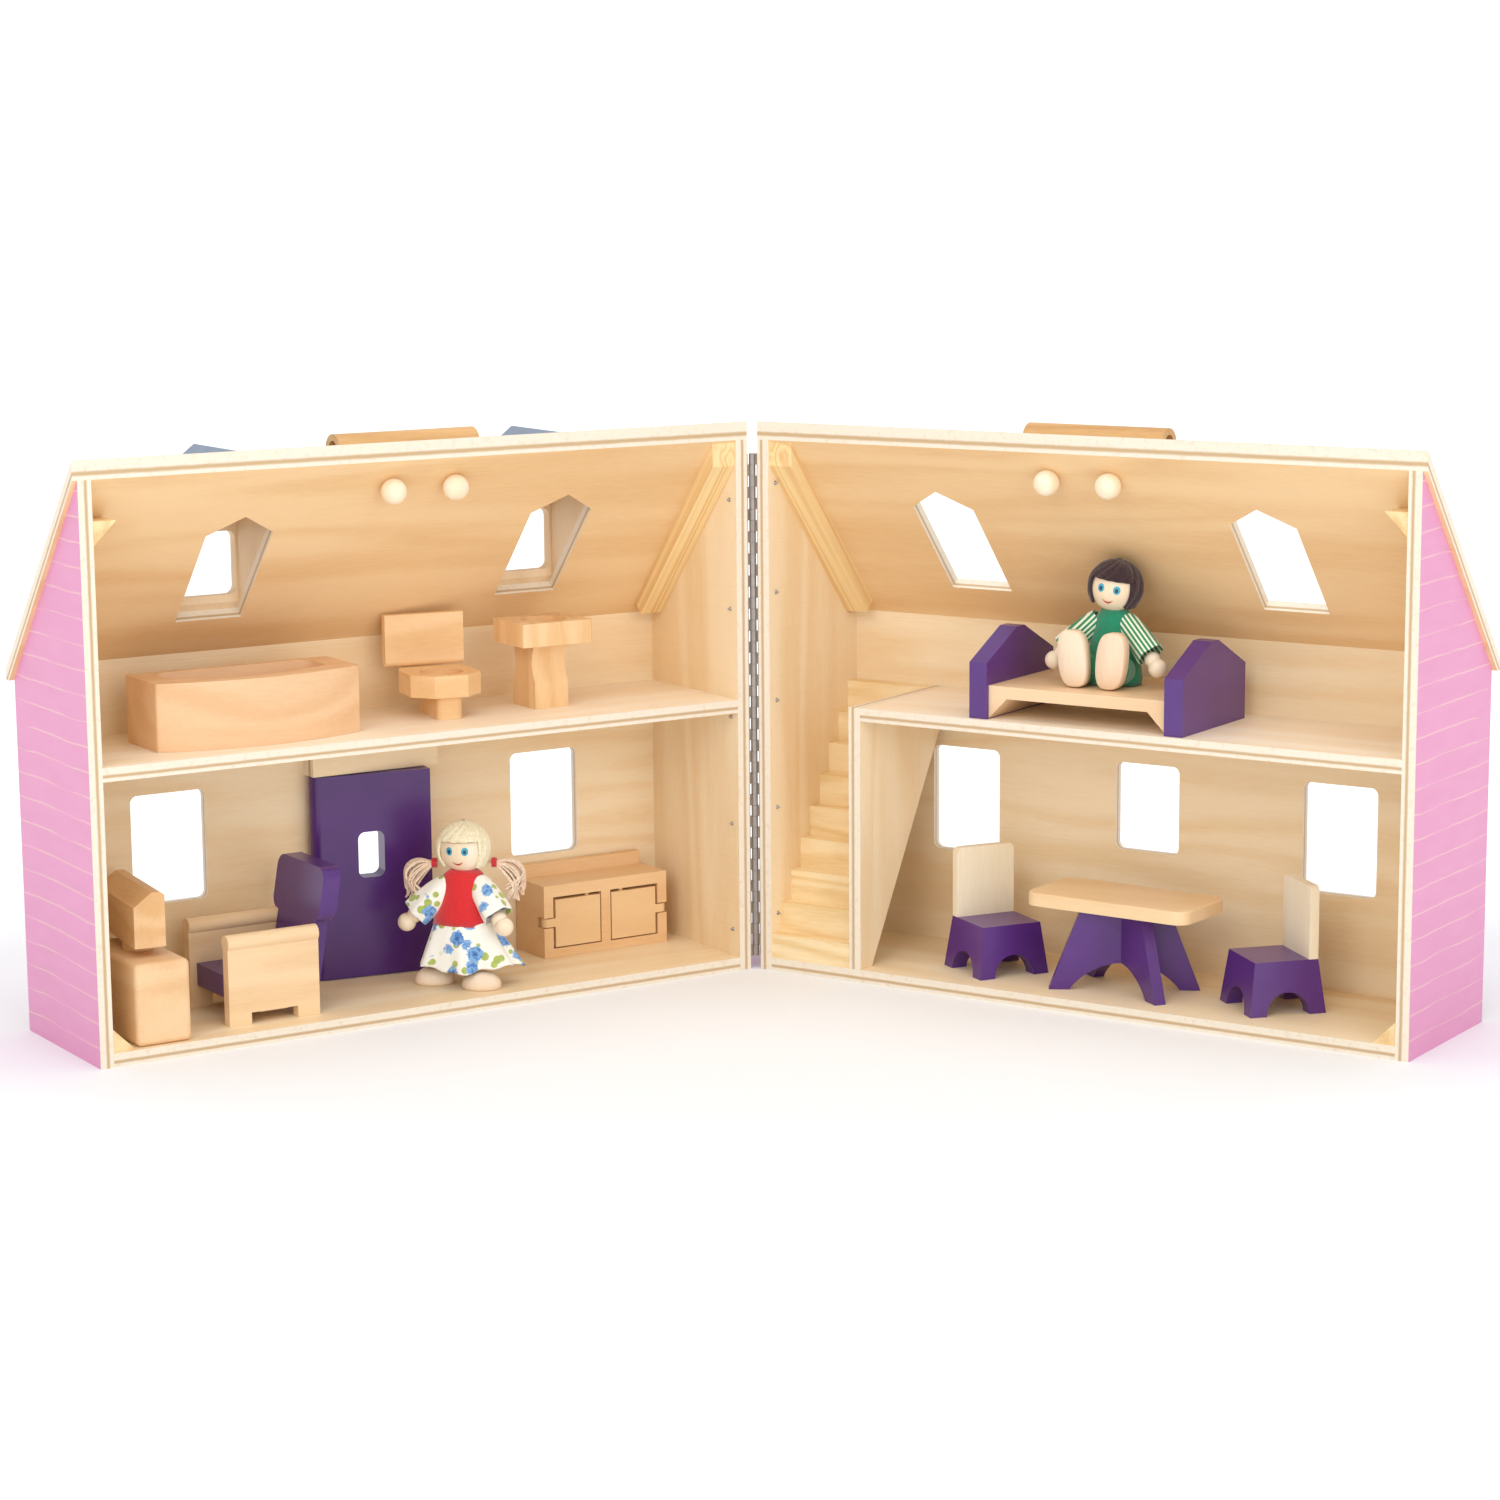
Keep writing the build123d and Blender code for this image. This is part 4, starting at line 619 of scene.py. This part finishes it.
def floral_material():
    """White cotton with blue roses and green leaves."""
    shade = Shade("floral_cotton")
    flowers = shade.cells(shade.place, 108.0)
    petals = shade.noise(shade.place, 620.0, 2.0)
    reach = shade.math("ADD", flowers.outputs["Distance"],
                       shade.math("MULTIPLY", shade.math("SUBTRACT", petals, 0.5), 0.35))
    pick = shade.vector("DOT_PRODUCT", flowers.outputs["Color"], (1.0, 0.0, 0.0))
    rose = shade.math("MULTIPLY", shade.step(reach, 0.44, 0.38), shade.step(pick, 0.16, 0.18))
    heart = shade.step(reach, 0.2, 0.1)
    blue = shade.mix(shade.step(petals, 0.42, 0.6), colour("86B4E2"), colour("4A80C4"))
    blue = shade.mix(heart, blue, colour("3B66A8"))
    leaves = shade.cells(shade.vector("ADD", shade.place, (0.004, 0.003, 0.006)), 190.0)
    leaf_pick = shade.vector("DOT_PRODUCT", leaves.outputs["Color"], (0.0, 1.0, 0.0))
    leaf = shade.math("MULTIPLY", shade.step(leaves.outputs["Distance"], 0.42, 0.34),
                      shade.step(leaf_pick, 0.42, 0.45))
    paint = shade.mix(leaf, colour("FAF8EE"), shade.mix(petals, colour("C9D27A"), colour("8FA83E")))
    paint = shade.mix(rose, paint, blue)
    weave = shade.noise(shade.vector("MULTIPLY", shade.place, (3000.0, 3000.0, 3000.0)), 1.0, 1.0)
    return shade.finish(paint, 0.85, weave, 0.0002, Sheen_Weight=0.3)


def stripe_material(name, origin, direction):
    """Green and white striped cotton, stripes running along a sleeve."""
    shade = Shade(name, 0.0, origin)
    across = shade.vector("DOT_PRODUCT", shade.place, direction)
    band = shade.math("PINGPONG", shade.math("DIVIDE", across, 0.0019), 0.5)
    paint = shade.mix(shade.step(band, 0.24, 0.3), colour("2C8F5C"), colour("F6FAE6"))
    weave = shade.noise(shade.vector("MULTIPLY", shade.place, (3000.0, 3000.0, 3000.0)), 1.0, 1.0)
    return shade.finish(paint, 0.85, weave, 0.0002, Sheen_Weight=0.3)


floral = floral_material()


def doll_face(prefix, center, radius, body, tilt):
    head = ball(prefix + "_face", center, radius, bead, body, rings=32)
    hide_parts(prefix + "_head")
    for side, tag in ((-1, "near"), (1, "far")):
        x = side * 3.8 * MM
        face_patch(f"{prefix}_eye_{tag}", center, radius, x, 0.2 * MM, (1.65 * MM, 2.0 * MM), teal, body,
                   tilt)
        face_patch(f"{prefix}_pupil_{tag}", center, radius, x, 0.0 * MM, (0.8 * MM, 1.05 * MM), ink, body,
                   tilt, 0.2)
    smile(prefix + "_smile", center, radius, lips, body, tilt)


def cap_strands(center, radius, tilt, count, fringe, nape):
    """Strands from a centre parting over the crown, sides and back, and a straight fringe."""
    strands = []
    for i in range(count):
        turn = 2 * math.pi * (i + random.uniform(-0.2, 0.2)) / count
        front = -math.sin(turn)
        low = nape if front < 0.62 else fringe
        points = []
        for k in range(8):
            polar = math.radians(4) + (low - math.radians(4)) * k / 7
            wave = 0.25 * MM * math.sin(k * 1.7 + i)
            r = radius + wave
            points.append(center + tilt @ Vector((r * math.sin(polar) * math.cos(turn),
                                                  -r * math.sin(polar) * -math.sin(turn),
                                                  r * math.cos(polar))))
        strands.append(points)
    return strands


def limb_rings(start, end, radii, depth, count=28, folds=5):
    """Rings along a sleeve or leg with soft lengthwise folds."""
    run = end - start
    side = run.orthogonal().normalized()
    other = run.normalized().cross(side)
    rings = []
    steps = len(radii)
    for k, radius in enumerate(radii):
        share = k / (steps - 1)
        center = start + run * share
        ring = []
        for i in range(count):
            a = 2 * math.pi * i / count
            r = radius * (1 + depth * share * math.sin(folds * a + 2.2 * share))
            ring.append(center + (side * math.cos(a) + other * math.sin(a)) * r)
        rings.append(ring)
    return rings


# The girl doll stands on the ground floor
girl_foot = world("left", 145.0, 28.0, PLY + REST)


def girl(x, y, z):
    return girl_foot + Vector((x, y, z)) * MM


girl_tilt = Matrix.Rotation(math.radians(-12), 3, "Z")
girl_center = girl(-0.8, 1.8, 65.7)
doll_face("girl", girl_center, HEAD, "girl_doll", girl_tilt)
girl_cap = cap_strands(girl_center, CAP, girl_tilt, 92, math.radians(69), math.radians(130))
hair = yarn("girl_yarn_cap", girl_cap, CAP_YARN, cream_yarn, "girl_doll")
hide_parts("girl_hair")
for side, tag in ((-1, "near"), (1, "far")):
    tie = girl_center + Vector((side * 12.2, 1.5, -7.5)) * MM
    tails = []
    for i in range(30):
        lean = random.uniform(-1, 1)
        drop = random.uniform(0.75, 1.15)
        swing = random.uniform(-1, 1)
        tails.append([tie + Vector((side * -1.0, 0.0, 0.6)) * MM,
                      tie + Vector((side * 2.5, 0.5 * swing, -0.4 + 0.6 * lean)) * MM,
                      tie + Vector((side * (7.5 + 2.5 * lean), 2.5 * swing, -0.5 + 3.0 * lean)) * MM,
                      tie + Vector((side * (12.5 + 3.5 * lean), 3.5 * swing, -4.5 + 4.4 * lean)) * MM,
                      tie + Vector((side * (14.5 + 3.2 * lean), 4.0 * swing,
                                    (-10.0 + 3.0 * lean) * drop)) * MM,
                      tie + Vector((side * (12.0 + 4.5 * swing), 3.2 * swing,
                                    (-15.0 + 3.0 * lean) * drop)) * MM])
    yarn(f"girl_pigtail_{tag}", tails, 0.48 * MM, tail_yarn, "girl_doll")
    knot = []
    for loop in range(3):
        knot.append([tie + Vector((side * (1.2 + 0.8 * loop), 2.1 * math.cos(a), 2.1 * math.sin(a))) * MM
                     for a in [2 * math.pi * i / 8 for i in range(9)]])
    yarn(f"girl_ribbon_{tag}", knot, 0.5 * MM, ribbon, "girl_doll")

# Skirt: a cone of cotton with soft folds and an uneven hem, drawn in at the waist
WAIST = (13.2, 9.3)
HEM = (23.6, 15.2)
SKIRT_TOP, SKIRT_DROP = 31.5, 22.0
# Radii in mm from the shoulder to the cuff
GIRL_SLEEVE = (4.6, 5.8, 6.5, 6.9, 7.1, 7.3, 7.2)
BOY_SLEEVE = (4.4, 5.4, 5.8, 6.0, 6.3, 6.5, 6.6)
skirt = []
for k in range(26):
    share = k / 25
    ring = []
    for i in range(120):
        a = 2 * math.pi * i / 120
        fold = math.sin(7 * a + 0.8) + 0.45 * math.sin(12 * a + 2.1)
        wide = WAIST[0] + (HEM[0] - WAIST[0]) * share + 1.9 * share * fold
        deep = WAIST[1] + (HEM[1] - WAIST[1]) * share + 1.5 * share * fold
        hem = 1.3 * math.sin(3 * a + 0.6) + 0.5 * math.sin(11 * a)
        low = SKIRT_TOP - share * (SKIRT_DROP + hem)
        ring.append(girl(-1.5 + 3.0 * share + wide * math.cos(a), deep * math.sin(a), low))
    skirt.append(ring)
skirt_piece = piece_from("girl_skirt", *loft(skirt, False, False), floral, "girl_doll")
wall = skirt_piece.modifiers.new("cloth", "SOLIDIFY")
wall.thickness = CLOTH

# Rows of height, half width, half depth and sideways shift, in mm
BODICE = [(29.6, 14.6, 10.3, -1.6), (34, 13.2, 9.9, -1.6), (39, 11.8, 9.3, -1.5), (45, 10.9, 8.5, -1.3),
          (50, 10.4, 7.7, -1.1), (53.5, 9.4, 6.6, -1.0), (55.6, 6.8, 5.4, -1.0)]
bodice = []
for z, wide, deep, shift in BODICE:
    bodice.append([girl(shift + wide * math.cos(a), deep * math.sin(a), z + 0.5 * math.sin(2 * a))
                   for a in [2 * math.pi * i / 48 for i in range(48)]])
bodice_piece = piece_from("girl_bodice", *loft(bodice), bodice_red, "girl_doll")
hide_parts("girl_body")
for tag, start, end in (("near", (-6.5, 0, 50.5), (-24.0, 0, 34.4)),
                        ("far", (5.5, -0.5, 50.5), (16.0, -11.0, 35.0))):
    sleeve = limb_rings(girl(*start), girl(*end), [r * MM for r in GIRL_SLEEVE], depth=0.1)
    made = piece_from(f"girl_sleeve_{tag}", *loft(sleeve, False, False), floral, "girl_doll")
    cuff = made.modifiers.new("cloth", "SOLIDIFY")
    cuff.thickness = CLOTH
    made.modifiers.new("smooth", "SUBSURF").levels = 1
for tag, place, wrist in (("near", (-28.4, 0, 30.2), (-24.6, 0, 33.6)),
                          ("far", (19.0, -14.2, 30.6), (16.4, -11.6, 34.0))):
    palm = ball(f"girl_hand_{tag}", girl(*place), HAND, bead, "girl_doll")
    ball(f"girl_wrist_{tag}", girl(*wrist), WRIST, bead, "girl_doll")
    if tag == "near":
        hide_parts("girl_limbs")


def shoe(name, at, size, height, turn, material, body):
    """Rounded wooden shoe with a flat sole."""
    rings = []
    for z, grow in ((0.0, 0.93), (0.5, 1.0), (2.2, 1.0), (3.8, 0.95), (5.2, 0.84), (6.5, 0.66), (7.3, 0.42),
                    (7.6, 0.18)):
        ring = []
        for i in range(40):
            a = 2 * math.pi * i / 40
            x, y = size[0] * grow * math.cos(a), size[1] * grow * math.sin(a)
            ring.append(at + Vector((x * math.cos(turn) - y * math.sin(turn),
                                     x * math.sin(turn) + y * math.cos(turn),
                                     z * height / 7.6)) * MM)
        rings.append(ring)
    return piece_from(name, *loft(rings), material, body)


shoe("girl_shoe_near", girl(-15.7, 1.5, 0.05), (9.6, 7.0), 8.2, 0.25, sole, "girl_doll")
shoe("girl_shoe_far", girl(7.4, -9.5, 0.05), (9.4, 7.2), 8.2, -0.15, sole, "girl_doll")

# The boy doll sits on the bed, soles to the front
boy_seat = world("right", 175.1, 38.0, UPPER_FLOOR_TOP + REST + BED_TOP + REST)


def boy(x, y, z):
    return boy_seat + Matrix.Rotation(-FOLD, 3, "Z") @ Vector((x, y, z)) * MM


boy_tilt = Matrix.Rotation(math.radians(-22), 3, "Z") @ Matrix.Rotation(math.radians(9), 3, "Y")
boy_center = boy(1.5, 0.0, 45.6)
doll_face("boy", boy_center, HEAD, "boy_doll", boy_tilt)
boy_cap = cap_strands(boy_center, CAP, boy_tilt, 96, math.radians(70), math.radians(130))
boy_hair_piece = yarn("boy_yarn_cap", boy_cap, CAP_YARN, brown_yarn, "boy_doll")
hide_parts("boy_hair")
# Rows of height, half width, half depth and sideways shift, in mm
TORSO = [(0.4, 14.5, 11.0, 0), (3, 15.0, 11.6, 0), (8, 14.4, 10.8, 0), (14, 12.6, 9.4, 0.3),
         (20, 11.0, 8.2, 0.6), (27, 9.8, 7.2, 0.9), (32, 8.8, 6.4, 1.0), (35.3, 6.4, 5.0, 1.2)]
torso = []
for z, wide, deep, shift in TORSO:
    torso.append([boy(shift + wide * math.cos(a), deep * math.sin(a), z)
                  for a in [2 * math.pi * i / 48 for i in range(48)]])
torso_piece = piece_from("boy_overalls", *loft(torso), felt, "boy_doll")
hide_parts("boy_body")
for side, tag in ((-1, "near"), (1, "far")):
    start, end = boy(side * 6.5, 0, 31.0), boy(side * 22.5, -4.6, 15.6)
    sleeve = limb_rings(start, end, [r * MM for r in BOY_SLEEVE], depth=0.07)
    run = (end - start).normalized()
    across = run.cross(Vector((0.0, -1.0, 0.0))).normalized()
    stripes = stripe_material(f"sleeve_stripe_{tag}", tuple(start), tuple(across))
    made = piece_from(f"boy_sleeve_{tag}", *loft(sleeve, False, False), stripes, "boy_doll")
    cuff = made.modifiers.new("cloth", "SOLIDIFY")
    cuff.thickness = CLOTH
    made.modifiers.new("smooth", "SUBSURF").levels = 1
    palm = ball(f"boy_hand_{tag}", boy(side * 27.0, -6.5, 10.0), HAND, bead, "boy_doll")
    ball(f"boy_wrist_{tag}", boy(side * 23.6, -5.2, 13.6), WRIST, bead, "boy_doll")
    leg = limb_rings(boy(side * 7.2, -4.0, 7.4), boy(side * 9.5, -15.6, 8.0),
                     [r * MM for r in (6.8, 6.9, 6.6, 6.2, 6.0)],
                     depth=0.05)
    piece_from(f"boy_leg_{tag}", *loft(leg), felt, "boy_doll")
    plate = []
    for depth, grow in ((-15.9, 0.93), (-16.4, 1.0), (-21.2, 1.0), (-21.8, 0.95)):
        ring = []
        for i in range(56):
            a = 2 * math.pi * i / 56
            x = 7.3 * grow * abs(math.cos(a)) ** 0.64 * math.copysign(1, math.cos(a))
            z = 13.2 * grow * abs(math.sin(a)) ** 0.78 * math.copysign(1, math.sin(a))
            ring.append(boy(side * 9.9 + x + side * 0.09 * z, depth, 13.7 + z))
        plate.append(ring)
    made = piece_from(f"boy_sole_{tag}", *loft(plate), sole, "boy_doll")
    if side < 0:
        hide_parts("boy_limbs")

# Stage -------------------------------------------------------------------------
floor_mesh = bpy.data.meshes.new("studio_floor")
floor_mesh.from_pydata([(-6, -6, 0), (6, -6, 0), (6, 6, 0), (-6, 6, 0)], [], [(0, 1, 2, 3)])
floor = bpy.data.objects.new("studio_floor", floor_mesh)
bpy.context.collection.objects.link(floor)
floor_shade = Shade("studio_white", 0.0, (0.0, 0.0, 0.0))
apart = floor_shade.vector("MULTIPLY", floor_shade.place, (2.4, 4.6, 0.0))
away = floor_shade.tree.nodes.new("ShaderNodeVectorMath")
away.operation = "LENGTH"
floor_shade.link(apart, away.inputs[0])
glow = floor_shade.step(away.outputs["Value"], 0.95, 1.7)
floor_shade.link(floor_shade.math("MULTIPLY", glow, 1.05), floor_shade.shader.inputs["Emission Strength"])
floor_shade.shader.inputs["Emission Color"].default_value = (1.0, 1.0, 1.0, 1.0)
floor_paint = floor_shade.mix(glow, colour("F2F3F5"), colour("808080"))
floor_mesh.materials.append(floor_shade.finish(floor_paint, 0.9))
